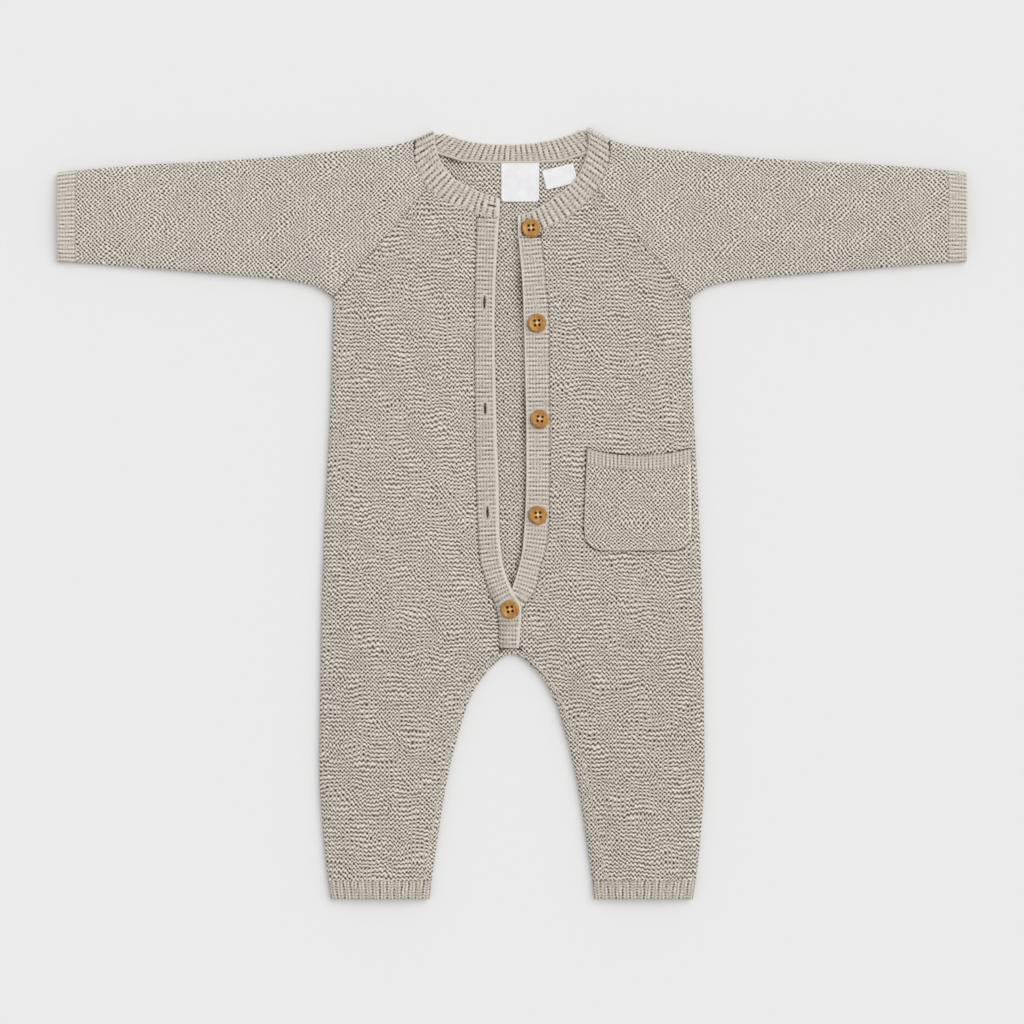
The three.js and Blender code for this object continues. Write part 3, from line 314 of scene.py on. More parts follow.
# A closed shell between an outer and an inner net of points. The inner net may be coarser.
# holes are (first row, last row, column) of slits that go right through.
def closedShell(name, outer, inner, fields, around=False, holes=()):
    count, columns = outer.shape[0], outer.shape[1] - 1
    innerCount, innerColumns = inner.shape[0], inner.shape[1] - 1
    rows = count if around else count - 1
    innerRows = innerCount if around else innerCount - 1
    rowStep, columnStep = rows // innerRows, columns // innerColumns
    base = count * (columns + 1)

    def out(i, j):
        return (i % count) * (columns + 1) + j

    def inn(i, j):
        return base + (i % innerCount) * (innerColumns + 1) + j

    def grid(rowSpans, columnSpans, index, area, turned):
        i, j = [a.ravel() for a in np.meshgrid(np.arange(rowSpans), np.arange(columnSpans), indexing="ij")]
        whole = np.ones(len(i), bool)
        for first, last, column in holes:
            whole &= ~((i >= first) & (i < last) & (j == column))
        i, j = i[whole], j[whole]
        corners = [(i, j), (i + 1, j), (i + 1, j + 1), (i, j + 1)]
        if turned:
            corners = corners[::-1]
        left, bottom, width, height = area
        quads = np.stack([index(a, b) for a, b in corners], axis=1)
        places = [(left + width * a / rowSpans, bottom + height * b / columnSpans) for a, b in corners]
        return quads, np.stack([np.stack(place, -1) for place in places], axis=1)

    quadsOut, uvOut = grid(rows, columns, out, (0.01, 0.01, 0.98, 0.66), False)
    quadsIn, uvIn = grid(innerRows, innerColumns, inn, (0.01, 0.69, 0.98, 0.22), True)
    faces = quadsOut.tolist() + quadsIn.tolist()
    uvs = [uvOut.reshape(-1, 2), uvIn.reshape(-1, 2)]
    rims = []

    def rim(k, spans, step, outerAt, innerAt, forward, strip):
        fine = list(range(k * step, (k + 1) * step + 1))
        coarse = [k + 1, k]
        if not forward:
            fine, coarse = fine[::-1], coarse[::-1]
        rims.append([outerAt(f) for f in fine] + [innerAt(c) for c in coarse])
        total = spans * step
        low = 0.925 + 0.018 * strip
        strips = [(f, low) for f in fine] + [(c * step, low + 0.01) for c in coarse]
        uvs.append(np.array([(0.01 + 0.98 * at / total, height) for at, height in strips]))

    for k in range(innerRows):
        rim(k, innerRows, rowStep, lambda f: out(f, 0), lambda c: inn(c, 0), False, 0)
        rim(k, innerRows, rowStep, lambda f: out(f, columns), lambda c: inn(c, innerColumns), True, 1)
    if not around:
        for k in range(innerColumns):
            rim(k, innerColumns, columnStep, lambda f: out(0, f), lambda c: inn(0, c), True, 2)
            rim(k, innerColumns, columnStep, lambda f: out(rows, f), lambda c: inn(innerRows, c), False, 3)
    for first, last, j in holes:
        for i in range(first, last):
            rims.append([out(i, j), out(i + 1, j), inn(i + 1, j), inn(i, j)])
            rims.append([out(i + 1, j + 1), out(i, j + 1), inn(i, j + 1), inn(i + 1, j + 1)])
        rims.append([out(first, j + 1), out(first, j), inn(first, j), inn(first, j + 1)])
        rims.append([out(last, j), out(last, j + 1), inn(last, j + 1), inn(last, j)])
        wallCorners = np.array([(0.5, 0.68), (0.503, 0.68), (0.503, 0.683), (0.5, 0.683)])
        uvs.append(np.tile(wallCorners, (2 * (last - first) + 2, 1)))
    faces += rims

    mesh = bpy.data.meshes.new(name)
    points = np.concatenate([outer.reshape(-1, 3), inner.reshape(-1, 3)]) * millimetre
    mesh.from_pydata(points.tolist(), [], faces)
    setMap(mesh, "OFBake", np.concatenate(uvs))
    loopVertex = np.empty(len(mesh.loops), np.int32)
    mesh.loops.foreach_get("vertex_index", loopVertex)
    cells = np.concatenate([np.reshape(part, (-1, 2)) for part in fields["cells"]])
    setMap(mesh, "Knit", cells[loopVertex])
    for field in fieldNames:
        setField(mesh, field, np.concatenate([np.ravel(part) for part in fields[field]]))
    # the cut edges stay flat, both faces of the cloth are smooth
    mesh.polygons.foreach_set("use_smooth", np.arange(len(faces)) < len(faces) - len(rims))
    pointOut(mesh)
    return linked(name, mesh)


def setMap(mesh, name, places):
    mesh.uv_layers.new(name=name).data.foreach_set("uv", places.astype(np.float32).ravel())


def setField(mesh, name, values):
    mesh.attributes.new(name, "FLOAT", "POINT").data.foreach_set("value", values.astype(np.float32))


# Turns the faces outwards
def pointOut(mesh):
    work = bmesh.new()
    work.from_mesh(mesh)
    inwards = work.calc_volume(signed=True) < 0
    work.free()
    if inwards:
        mesh.flip_normals()
    mesh.update()


def linked(name, mesh, onOrigin=True):
    if onOrigin:
        mesh.transform(Matrix.Translation((0, originY * millimetre, 0)))
    piece = bpy.data.objects.new(name, mesh)
    bpy.context.scene.collection.objects.link(piece)
    return piece


fieldNames = ("slant", "ridge", "plain", "paintedShade")


def evenly(value):
    return lambda x, y: np.full(np.shape(x), value)


# What the knit's material reads: its cells, its unevenness, where it is plain and where shade is painted
# into its colour
def planFields(nets, seed, ridgeMean, turned=False, plainOf=evenly(0.0), paintedShadeOf=evenly(0.0)):
    rows = []
    for net in nets:
        x, y = net[..., 0], net[..., 1]
        cellU, cellV, slant, ridge = knitCells(*((y, x) if turned else (x, y)), seed, ridgeMean)
        rows.append((np.stack([cellU, cellV], -1), slant, ridge, plainOf(x, y), paintedShadeOf(x, y)))
    return dict(zip(("cells", *fieldNames), zip(*rows)))


# The same fields for ribbed pieces; the last one is shade painted into their colour
def ribFields(nets, columnCells, rowCells, plain, pairs, strength, paintedShade=0.0):
    rows = []
    for k, net in enumerate(nets):
        parts = (columnCells[k], rowCells[k], pairs, strength, plain[k], paintedShade)
        parts = [np.broadcast_to(part, net.shape[:2]) for part in parts]
        rows.append([np.stack(parts[:2], -1)] + parts[2:])
    return dict(zip(("cells", *fieldNames), zip(*rows)))


# Half of the surface of a net of points, taken before its stitches are raised
def netArea(net, around=False):
    points = np.concatenate([net, net[:1]]) if around else net
    one = points[1:, 1:] - points[:-1, :-1]
    other = points[1:, :-1] - points[:-1, 1:]
    return float(np.linalg.norm(np.cross(one, other), axis=-1).sum() / 2) * millimetre**2


def finishPiece(piece, node, material):
    piece.data.materials.append(material)
    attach(piece, "root")
    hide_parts(node)


def finishCloth(piece, node, slot, material, flat, restsOn, area, withPieces=()):
    finishPiece(piece, node, material)
    size = tuple(s * millimetre for s in flat)
    area = min(area, size[0] * size[1])
    print(piece.name, "flat", flat, "area", round(area, 5), "faces", len(piece.data.polygons))


# An sRGB hex colour as the linear values that a shader takes
def linear(hexColour):
    parts = [int(hexColour[i : i + 2], 16) / 255 for i in (1, 3, 5)]
    return [p / 12.92 if p <= 0.04045 else ((p + 0.055) / 1.055) ** 2.4 for p in parts] + [1]


# Adds a node: inputs by name or number, linked or set, and its own settings
def addNode(tree, kind, inputs=None, **settings):
    node = tree.nodes.new(kind)
    for name, value in settings.items():
        setattr(node, name, value)
    for key, value in (inputs or {}).items():
        if isinstance(value, bpy.types.NodeSocket):
            tree.links.new(value, node.inputs[key])
        else:
            node.inputs[key].default_value = value
    return node


def newMaterial(name):
    material = bpy.data.materials.new(name)
    material.use_nodes = True
    tree = material.node_tree
    tree.nodes.clear()
    return material, tree


def setRamp(node, stops):
    ramp = node.color_ramp
    while len(ramp.elements) > 1:
        ramp.elements.remove(ramp.elements[-1])
    ramp.elements[0].position, ramp.elements[0].color = stops[0][0], linear(stops[0][1])
    for position, colour in stops[1:]:
        ramp.elements.new(position).color = linear(colour)


def noiseOf(tree, place, scale, detail, output="Fac"):
    inputs = {"Vector": place, "Scale": scale, "Detail": detail}
    return addNode(tree, "ShaderNodeTexNoise", inputs).outputs[output]


def maths(tree, operation, a, b=0.0, c=0.0):
    return addNode(tree, "ShaderNodeMath", {0: a, 1: b, 2: c}, operation=operation).outputs[0]


def endMaterial(tree, colour, relief, look):
    bump = addNode(tree, "ShaderNodeBump", dict(zip(("Height", "Distance", "Strength"), relief)))
    inputs = {**look, "Base Color": colour, "Normal": bump.outputs[0]}
    shader = addNode(tree, "ShaderNodeBsdfPrincipled", inputs)
    addNode(tree, "ShaderNodeOutputMaterial", {0: shader.outputs[0]})


yarn = {
    # from painted shade in the holes between the loops to painted light on the tips of the strands
    "tones": [(0.04, "#37312B"), (0.26, "#81776C"), (0.46, "#C3BAAE"), (0.68, "#EAE2D5"), (1.0, "#FCF6EB")],
    "fibre": 1 / 0.00045,  # fibres about half a millimetre long show at this size
    "tone": 1 / 0.0045,  # heather tones change every few stitches
    "wobble": 1 / 0.0036,  # no two loops sit quite alike
    "rib": 1 / 0.0045,  # a rib stands out more in some places than in others
    "wave": 1 / 0.02,  # the rows move between the strands
    "relief": 0.0006,
    "look": {
        "Roughness": 0.92,
        "IOR": 1.5,
        "Specular IOR Level": 0.25,
        "Sheen Weight": 0.18,
        "Sheen Roughness": 0.5,
    },
}


# Knitted cotton, spun from pale and taupe fibres: matt, with shade painted into the gaps between the loops
# and light painted onto the strands
def knitMaterial(name, ribbed):
    material, tree = newMaterial(name)

    def times(a, b):
        return maths(tree, "MULTIPLY", a, b)

    def timesPlus(a, b, c):
        return maths(tree, "MULTIPLY_ADD", a, b, c)

    def cosine(a):
        return maths(tree, "COSINE", a)

    def minus(a, b):
        return maths(tree, "SUBTRACT", a, b)

    def noise(size, detail, output="Fac"):
        return noiseOf(tree, place, yarn[size], detail, output)

    place = addNode(tree, "ShaderNodeTexCoord").outputs["Object"]
    knitMap = addNode(tree, "ShaderNodeUVMap", uv_map="Knit").outputs[0]
    cell = addNode(tree, "ShaderNodeSeparateXYZ", {0: knitMap})
    slant, ridge, plain, paintedShade = [
        addNode(tree, "ShaderNodeAttribute", attribute_name=field).outputs["Fac"] for field in fieldNames
    ]
    wobble = addNode(tree, "ShaderNodeSeparateXYZ", {0: noise("wobble", 1.0, "Color")})
    wobbleSize, fibreSize = (0.6, 1.5) if ribbed else (0.85, 1.2)
    across = timesPlus(minus(wobble.outputs[0], 0.5), wobbleSize * 0.5, cell.outputs[0])
    up = timesPlus(minus(wobble.outputs[1], 0.5), wobbleSize, cell.outputs[1])
    acrossTurn, upTurn = times(across, fullTurn), times(up, fullTurn)
    if ribbed:
        # a broad rib with a faint line down its middle, then a narrow groove dotted with loops
        groove = cosine(acrossTurn)
        strength = timesPlus(noise("rib", 1.0), 1.9, -0.52)
        broad = times(groove, timesPlus(slant, 0.75, -0.85))
        double = times(cosine(times(acrossTurn, 2.0)), times(slant, -0.6))
        ribs = times(maths(tree, "ADD", broad, double), times(strength, ridge))
        lean = maths(tree, "ABSOLUTE", minus(maths(tree, "FRACT", across), 0.5))
        loops = cosine(timesPlus(lean, 4.5, upTurn))
        dotted = times(loops, timesPlus(groove, 0.07, 0.2))
        knit = timesPlus(ribs, 1.3, dotted)
    else:
        rising = cosine(maths(tree, "ADD", acrossTurn, upTurn))
        falling = cosine(minus(acrossTurn, upTurn))
        both = {0: slant, 2: falling, 3: rising}
        strands = addNode(tree, "ShaderNodeMix", both, data_type="FLOAT").outputs[0]
        shifted = timesPlus(noise("wave", 1.0), 10.0, -5.0 - math.pi / 2)
        rows = times(cosine(maths(tree, "ADD", upTurn, shifted)), ridge)
        knit = timesPlus(strands, timesPlus(ridge, -1.3, 1.14), rows)
    height = timesPlus(knit, timesPlus(plain, -0.85, 1.0), times(plain, 0.42))
    mottled = timesPlus(minus(noise("fibre", 2.0), 0.5), fibreSize, height)
    mottled = timesPlus(minus(noise("tone", 3.0), 0.5), 0.18, mottled)
    # painted shade: this attribute darkens the colour further, for painted shadows beside seams and edges
    # and each piece's overall painted shade or light
    shaded = timesPlus(paintedShade, -1.6, mottled)
    share = addNode(tree, "ShaderNodeMapRange", {0: shaded, 1: -0.92, 2: 0.92}).outputs[0]
    colour = addNode(tree, "ShaderNodeValToRGB", {0: share})
    setRamp(colour, yarn["tones"])
    endMaterial(tree, colour.outputs[0], (mottled, yarn["relief"], 0.7), yarn["look"])
    return material


garterKnit = knitMaterial("garterKnitCotton", False)
ribKnit = knitMaterial("ribKnitCotton", True)


# Loose yarn of the seams and stitches: the same cotton, pale, without loops of its own
def yarnMaterial(name, dark, pale):
    material, tree = newMaterial(name)
    place = addNode(tree, "ShaderNodeTexCoord").outputs["Object"]
    fibre = noiseOf(tree, place, yarn["fibre"], 3.0)
    colour = addNode(tree, "ShaderNodeValToRGB", {0: fibre})
    setRamp(colour, [(0.3, dark), (0.7, pale)])
    endMaterial(tree, colour.outputs[0], (fibre, 0.0002, 0.6), {"Roughness": 0.9, "Sheen Weight": 0.2})
    return material


paleYarn = yarnMaterial("paleCottonYarn", "#BDB4A6", "#E6DED0")
# the thread through the buttons is near-black as painted shade inside the holes
holeShadeThread = yarnMaterial("threadDarkAsHoleShade", "#1B1511", "#2E251C")
print("knit materials ready")


# The pocket's outline also sets the shadow painted round it on the left front, so its sizes come first
pocket = {
    "left": 50.6,
    "right": 121.6,
    "flare": 1.6,
    "mouthY": 44.2,
    "mouthSag": 5.2,
    "bandHeight": 9.6,
    "bottomY": -25,
    "corner": 13,
    "thickness": 2.2,
    "ribs": 27,
    "stitch": 2.0,
    "rows": 84,
    "columns": 96,
    "innerEvery": 6,
    "border": 1.5,  # the pocket's smooth edge
    "pairs": 0.15,
    "strength": 0.8,
    # painted shade all over the pocket's ribbed top
    "bandPaintedShade": 0.07,
    "flat": (73.5, 69.5),
    "cutArea": 0.0047,  # the pocket with its ribbed top
}


def mouthY(u):
    return pocket["mouthY"] - pocket["mouthSag"] * 4 * u * (1 - u) * mix(1, 0.85, u)


def pocketSides(y):
    bow = pocket["flare"] * (1 - smooth(pocket["bottomY"] + pocket["corner"], pocket["mouthY"], y))
    return pocket["left"] - bow, pocket["right"] + bow * 0.3


def pocketBottom(u):
    left, right = pocketSides(pocket["bottomY"] + pocket["corner"])
    inCorner = np.maximum(0, pocket["corner"] - np.minimum(u, 1 - u) * (right - left))
    return pocket["bottomY"] + pocket["corner"] - np.sqrt(pocket["corner"] ** 2 - inCorner**2)


front = {
    "flat": (127, 471),
    "rows": 584,
    "columns": 136,
    "innerEvery": 8,
    "nearEdge": 1.15,  # the columns stand closer towards the side seam
    "topY": 220.4,
    "seamDip": 0.2,
    "legGap": 0.2,
    "raglanLap": 0.15,
}


def stripSeam(column):
    places, reach = [], []
    for i in range(len(inseam["y"]) - 1):
        dx = inseam["half"][i + 1] - inseam["half"][max(i - 1, 0)]
        dy = inseam["y"][i + 1] - inseam["y"][max(i - 1, 0)]
        length = math.hypot(dx, dy)
        reach.append(inseam["half"][i] + dy / length * inseam[column][i])
        places.append(inseam["y"][i] - dx / length * inseam[column][i])
    return places, reach


def frontInner(right, y):
    band = buttonholeBand if right else buttonBand
    neckRows = neckFrontRight[2:] if right else neckFrontLeft[8::-1]
    places, reach = stripSeam("stripRight" if right else "stripLeft")
    gap = cloth["visibleGap"]
    alongBand = np.abs(along(band["y"], band["seam"], y)) + gap
    alongLeg = np.maximum(along(places, reach, y) + front["legGap"], abs(band["seam"][0]) + gap)
    neckX = np.abs(along([row[1] for row in neckRows], [row[0] for row in neckRows], y))
    alongNeck = np.maximum(alongBand, neckX + 0.4)
    return np.where(y < bandEndY, alongLeg, np.where(y < band["y"][-1], alongBand, alongNeck))


def raglanX(y):
    return mix(underarm[0], raglanTop[0], (y - underarm[1]) / (raglanTop[1] - underarm[1]))


def frontNets(right):
    way = -1 if right else 1
    every = front["innerEvery"]
    levels = np.linspace(hemTopY, front["topY"], front["rows"] + 1)
    shares = np.linspace(0, 1, front["columns"] + 1) ** front["nearEdge"]

    def place(y):
        edge = np.where(y < underarm[1], sideHalf(y), raglanX(y) + front["raglanLap"])
        return y, edge, np.maximum(edge - frontInner(right, y), 0.4)

    y, edge, width = [a[:, None] for a in place(levels)]
    d = width * shares
    x = way * (edge - d)
    y = np.broadcast_to(y, x.shape)
    top = np.maximum(frontTop(x, y), middle + seamGap / 2) + creaseHeight(x, y)
    dip = np.where(y > underarm[1], 0.4 - 0.4 * smooth(0, 1.4, d), 0) + 1 - smooth(0, 1.4, width - d)
    cells = knitCells(x, y, *knits["front"])
    fade = smooth(0, 2.2, d) * smooth(0, 1.6, width - d) * smooth(0, 1.5, y - hemTopY)
    outer = np.stack([x, y, top], -1)
    plainArea = netArea(outer)
    outer[..., 2] += fade * knitRelief(*cells) - front["seamDip"] * dip

    y, edge, width = [a[:, None] for a in place(levels[::every])]
    d = width * shares[::every]
    x = way * (edge - np.where(y < underarm[1], innerDistance(d), d))
    y = np.broadcast_to(y, x.shape)
    inner = np.stack([x, y, frontUnder(x, y) + creaseHeight(x, y)], -1)
    return outer, inner, plainArea


# The pocket's outline from its mouth down the left side, along the bottom and up again
def pocketOutline():
    cornerY = pocket["bottomY"] + pocket["corner"]
    height = np.linspace(pocket["mouthY"], cornerY, 6)
    left, right = pocketSides(height)
    u = np.concatenate([np.linspace(0, 0.18, 7), np.linspace(0.24, 0.76, 4), np.linspace(0.82, 1, 7)])
    bottom = pocketBottom(u)
    bottomX = mix(*pocketSides(bottom), u)
    return list(zip(left, height)) + list(zip(bottomX, bottom))[1:-1] + list(zip(right, height))[::-1]


# Shade painted into the knit's colour: a little all over a piece (negative values paint it lighter), and
# painted shadows beside what is sewn or laid on it
shade = {
    "front": -0.005,
    "legs": 0.025,  # painted shade added towards the hems
    "back": 0.005,
    "sleeve": -0.065,
    "pocket": -0.03,
    "buttonholeSeam": 0.3,
    "buttonSeam": 0.1,
    "raglan": 0.04,
    "pocketEdge": 0.5,
    "pocketSide": 0.2,  # the pocket's edge at the side seam
    "mouth": 0.33,
    "besideBand": 0.35,
    "underFold": 0.5,
    "slit": 0.9,
    "neckSlit": 0.3,
}


def bandSeam(band, y):
    return along(band["y"], band["seam"], y)


def bandFree(band, y):
    return along(band["y"], band["free"], y)


# Shade painted on the fronts: along the band seams and the raglan seam, round the pocket's edge and above
# its mouth, a little all over, and more towards the hems
def frontPaintedShade(x, y):
    seam = np.where(x < 0, bandSeam(buttonholeBand, y), bandSeam(buttonBand, y))
    toBand = np.where(y > bandEndY, np.abs(x - seam), 9)
    toRaglan = distanceTo([underarm, raglanTop], np.abs(x), y)
    toPocket = distanceTo(pocketOutline(), x, y)
    left, right = pocket["left"], pocket["right"]
    atPocket = np.where(x > right - 4, shade["pocketSide"], shade["pocketEdge"])
    u = np.clip((x - left) / (right - left), 0, 1)
    aboveMouth = np.where((x > left) & (x < right), y - mouthY(u) - 0.3, 9)
    total = np.where(x < 0, shade["buttonholeSeam"], shade["buttonSeam"]) * near(toBand, 0.9)
    total += shade["raglan"] * near(toRaglan, 0.8)
    total += atPocket * near(toPocket, 0.85) + shade["mouth"] * near(aboveMouth, 0.9)
    return total + shade["front"] + shade["legs"] * smooth(20, -140, y)


join = {"sink": 0.25, "trim": 3, "above": 2.4}
ribJoins = []  # where the hems and cuffs are knitted on
for right, name in ((True, "right"), (False, "left")):
    outer, inner, area = frontNets(right)
    ribJoins.append(outer[0, join["trim"] : -join["trim"]] - [0, 0, join["sink"]])
    fields = planFields((outer, inner), *knits["front"], paintedShadeOf=frontPaintedShade)
    piece = closedShell("knitFront_" + name, outer, inner, fields)
    finishCloth(piece, "front_" + name, "garter_knit", garterKnit, front["flat"], ["back"], area)
print("fronts knitted")


# Back: rays run from the inner leg's fold to the side seam, each with a strip on the front
back = {
    "flat": (272, 497),
    "legRays": 160,
    "crotchRays": 48,
    "stripColumns": 8,
    "foldColumns": 6,
    "spanColumns": 30,
    "edgeColumns": 6,
    "innerEvery": 4,
    "steepest": 0.45,
}
rayFoldY = [-249.4, -230, -208, -186, -164, -145, -129, -116, -107, -101.5, -99.1]
rayOuterY = [-249.4, -229, -206, -182, -156, -128, -92, -44, 18, 84, 146.8]
crotchFold = [(8.2, -99.1), (6.6, -98), (5.0, -97), (3.6, -96.3), (2.4, -95.95), (1.2, -95.75), (0, -95.7)]
crotchOuter = [(121.6, 146.8), (98, 179.3), (73.6, 213), (49.5, 245.5), (34, 240.9), (18, 239.8), (0, 239.6)]


def backRays():
    leg = np.linspace(0, 10, back["legRays"] + 1)
    foldY = along(range(11), rayFoldY, leg)
    outerY = along(range(11), rayOuterY, leg)
    legs = np.stack([along(inseam["y"], inseam["half"], foldY), foldY, sideHalf(outerY), outerY], -1)
    crotch = np.linspace(0, 6, back["crotchRays"] + 1)[1:]
    fold = [along(range(7), [p[k] for p in crotchFold], crotch) for k in (0, 1)]
    edge = [np.interp(crotch, range(7), [p[k] for p in crotchOuter]) for k in (0, 1)]
    half = np.concatenate([legs, np.stack(fold + edge, -1)])
    return np.concatenate([half * [-1, 1, -1, 1], half[-2::-1]])


def backNets():
    rays = backRays()
    columns = [np.linspace(1, 0, back["stripColumns"] + 1)[:-1]]  # shares of the strip on the front
    columns.append(np.linspace(0, 1, back["foldColumns"] + 1)[:-1])
    columns.append(np.linspace(0, 1, back["spanColumns"] + 1))
    columns.append(np.linspace(1, 0, back["edgeColumns"] + 1)[1:])
    zones = np.concatenate([np.full(len(c), k) for k, c in enumerate(columns)])
    shares = np.concatenate(columns)

    def net(rays, outside):
        foldX, foldY, edgeX, edgeY = [rays[:, k : k + 1] for k in range(4)]
        dx, dy = edgeX - foldX, edgeY - foldY
        length = np.hypot(dx, dy)
        slant = np.maximum(np.abs(dx) / length, back["steepest"])
        strips = [along(inseam["y"], inseam[column], foldY) for column in ("stripRight", "stripLeft")]
        width = np.where(foldX < 0, strips[0], strips[1])
        onSide = edgeY < underarm[1]
        atStrip, atFold, atSpan, atEdge = [zones == k for k in range(4)]
        inset = np.where(atEdge, shares, 1.0) ** 1.5 * foldReach
        distance = np.where(atStrip, width * shares, foldReach * shares**1.3)
        spanned = mix(foldReach, length - foldReach / slant, shares)
        if outside:
            low = middle - outerHalf(np.where(atFold, distance, foldReach))
            edgeZ = np.where(onSide, np.minimum(middle - outerHalf(inset), middle - seamGap / 2), 0)
            distance = np.where(atSpan, spanned, np.where(atEdge, length - inset / slant, distance))
        else:
            stripIn = mix(wall, np.maximum(width, wall + 0.1), shares)
            foldIn = innerDistance(distance)
            low = np.where(atFold, middle - innerHalf(foldIn), wall)
            insetIn = np.where(onSide, innerDistance(inset), inset)
            edgeZ = np.where(onSide, np.minimum(middle - innerHalf(insetIn), middle - seamGap / 2), wall)
            outwards = np.where(atSpan, spanned, length - insetIn / slant)
            distance = np.where(atStrip, stripIn, np.where(atFold, foldIn, outwards))
        x = foldX + dx / length * distance
        y = foldY + dy / length * distance
        if outside:
            high = middle + outerHalf(distance) + puff(x, y)
        else:
            high = middle + np.maximum(innerHalf(distance), 0.02) + puff(x, y)
        z = np.where(atStrip, high, np.where(atEdge, edgeZ, low))
        return np.stack([x, y, z], -1)

    return net(rays, True), net(rays[:: back["innerEvery"]], False), zones


# Shade painted on the back: beside the button band and under the fold at the right shoulder
def backPaintedShade(x, y):
    toBand = bandFree(buttonBand, y) - x
    beside = shade["besideBand"] * near(toBand, 1.4) * smooth(-62, -50, y) * (1 - smooth(180, 192, y))
    corner = shade["underFold"] * near(distanceTo([(-51, 248), (-36, 238)], x, y), 2.2)
    return beside + corner + shade["back"]


outer, inner, zones = backNets()
area = netArea(outer)
onStrip = (zones == 0) & (np.arange(len(zones)) > 0)
stripCells = knitCells(outer[:, onStrip, 0], outer[:, onStrip, 1], *knits["back"])
outer[:, onStrip, 2] += 0.8 * knitRelief(*stripCells)
fields = planFields((outer, inner), *knits["back"], paintedShadeOf=backPaintedShade)
piece = closedShell("knitBack", outer, inner, fields)
finishCloth(piece, "back", "garter_knit", garterKnit, back["flat"], ["floor"], area)
print("back knitted")


# Sleeves, cuffs and leg hems are flattened tubes
sleeve = {
    "flat": (215, 240),
    "rows": 276,
    "frontColumns": 120,
    "backColumns": 24,
    "innerEvery": 6,
    "pull": 1.6,  # how late the tube turns towards the raglan seam
    "upperX": [296.4, 242.1, 201.3, 160.5, 119.7, 82, 66.9],
    "upperY": [233.9, 238.2, 240.2, 243, 247, 250.8, 254.7],
    "lowerX": [296.4, 242.1, 201.3, 160.5, 146.9, 133.3, 122],
    "lowerY": [171.1, 166.8, 163.4, 160, 158, 154.4, 147.4],
    "shares": [0, 0.08, 0.125, 0.17, 0.26, 0.34, 0.5, 0.67, 0.84, 1],
    "frontEndX": [66.9, 67.0, 66.4, 65.7, 62.1, 58.1, 73.8, 89.7, 105.7, 122],
    "frontEndY": [254.7, 246, 241.7, 237.4, 228.2, 221, 202.7, 184.3, 165.9, 147.4],
    "backEndX": [66.9, 66.2, 59.4, 50.5, 58.2, 65.1, 78.9, 93.5, 108.2, 122],
    "backEndY": [254.7, 249.4, 247.8, 245.5, 235, 225.5, 206.5, 186.5, 166.4, 147.4],
}
cuff = {
    "flat": (127, 13),
    "x": (296.7, 309.4),
    "upper": (233.9, 232.3),
    "lower": (171.1, 171.6),
    "ribs": 22,
    "perRib": 8,
    "rows": 24,
    "stitch": 2.1,
    "plain": 0.42,
    "pairs": 0.1,
    "rise": 0.3,
    "strength": 0.95,
    # painted shade all over the cuff
    "paintedShade": 0.045,
}
hem = {
    "flat": (142, 13),
    "side": (125.1, 123.1),
    "inseam": (54.9, 56.2),
    "y": (-249.5, -262.3),
    "ribs": 14,
    "perRib": 12,
    "rows": 24,
    "stitch": 1.9,
    "plain": 0.2,
    "pairs": 0.85,
    "rise": 0.35,
    "strength": 0.95,
    # painted shade all over the hem
    "paintedShade": 0.085,
}


def tubeShares(frontColumns, backColumns, crowd=0.4):
    def spread(count):
        even = np.arange(count) / count
        return mix(even, (1 - np.cos(np.pi * even)) / 2, crowd)

    shares = np.concatenate([spread(frontColumns), 1 - spread(backColumns)])
    return shares, np.arange(frontColumns + backColumns) < frontColumns


def tubeNet(edgeA, edgeB, share, isFront, outside, endShift=None, ridge=0.0, rise=None):
    share, isFront = share[:, None], isFront[:, None]
    width = np.hypot(edgeA[0] - edgeB[0], edgeA[1] - edgeB[1])[None, :]
    d = share * width
    nearer = np.minimum(d, width - d)
    if outside:
        half = outerHalf(nearer)
    else:
        moved = innerDistance(nearer)
        half = np.maximum(innerHalf(moved), 0.02)
        d = np.where(d < width / 2, moved, width - moved)
    share = d / width
    t = np.linspace(0, 1, width.shape[1])[None, :]
    x = mix(edgeA[0][None, :], edgeB[0][None, :], share)
    y = mix(edgeA[1][None, :], edgeB[1][None, :], share)
    sewn = 1
    if endShift is not None:
        shiftX, shiftY = endShift(t, share, isFront)
        x, y = x + shiftX, y + shiftY
        sewn = mix(1, 0.25, smooth(0.8, 1, t))
    rise = cloth["puffHeight"] if rise is None else rise
    lift = rise * smooth(0, cloth["puffReach"] * 0.7, nearer) * sewn
    z = middle + np.where(isFront, half + lift + ridge, -half)
    return np.stack([x, y, z], -1)


def sleeveNets():
    t = np.linspace(0, 1, sleeve["rows"] + 1)

    def edge(name, t):
        xs, ys = sleeve[name + "X"][::-1], sleeve[name + "Y"][::-1]
        x = mix(xs[-1], xs[0], t)
        return x, along(xs, ys, x)

    startA, startB = [[sleeve[name + axis][-1] for axis in "XY"] for name in ("upper", "lower")]

    def endShift(t, share, isFront):
        pull = t ** sleeve["pull"]
        shift = []
        for axis, fromA, fromB in zip("XY", startA, startB):
            faces = [sleeve[face + axis] for face in ("frontEnd", "backEnd")]
            ends = [np.interp(share, sleeve["shares"], face) for face in faces]
            shift.append(pull * (np.where(isFront, ends[0], ends[1]) - mix(fromA, fromB, share)))
        return shift

    shares, isFront = tubeShares(sleeve["frontColumns"], sleeve["backColumns"])
    every = sleeve["innerEvery"]
    outer = tubeNet(edge("upper", t), edge("lower", t), shares, isFront, True, endShift)
    edges = [edge(name, t[::every]) for name in ("upper", "lower")]
    inner = tubeNet(*edges, shares[::every], isFront[::every], False, endShift)
    return outer, inner, shares, isFront, t


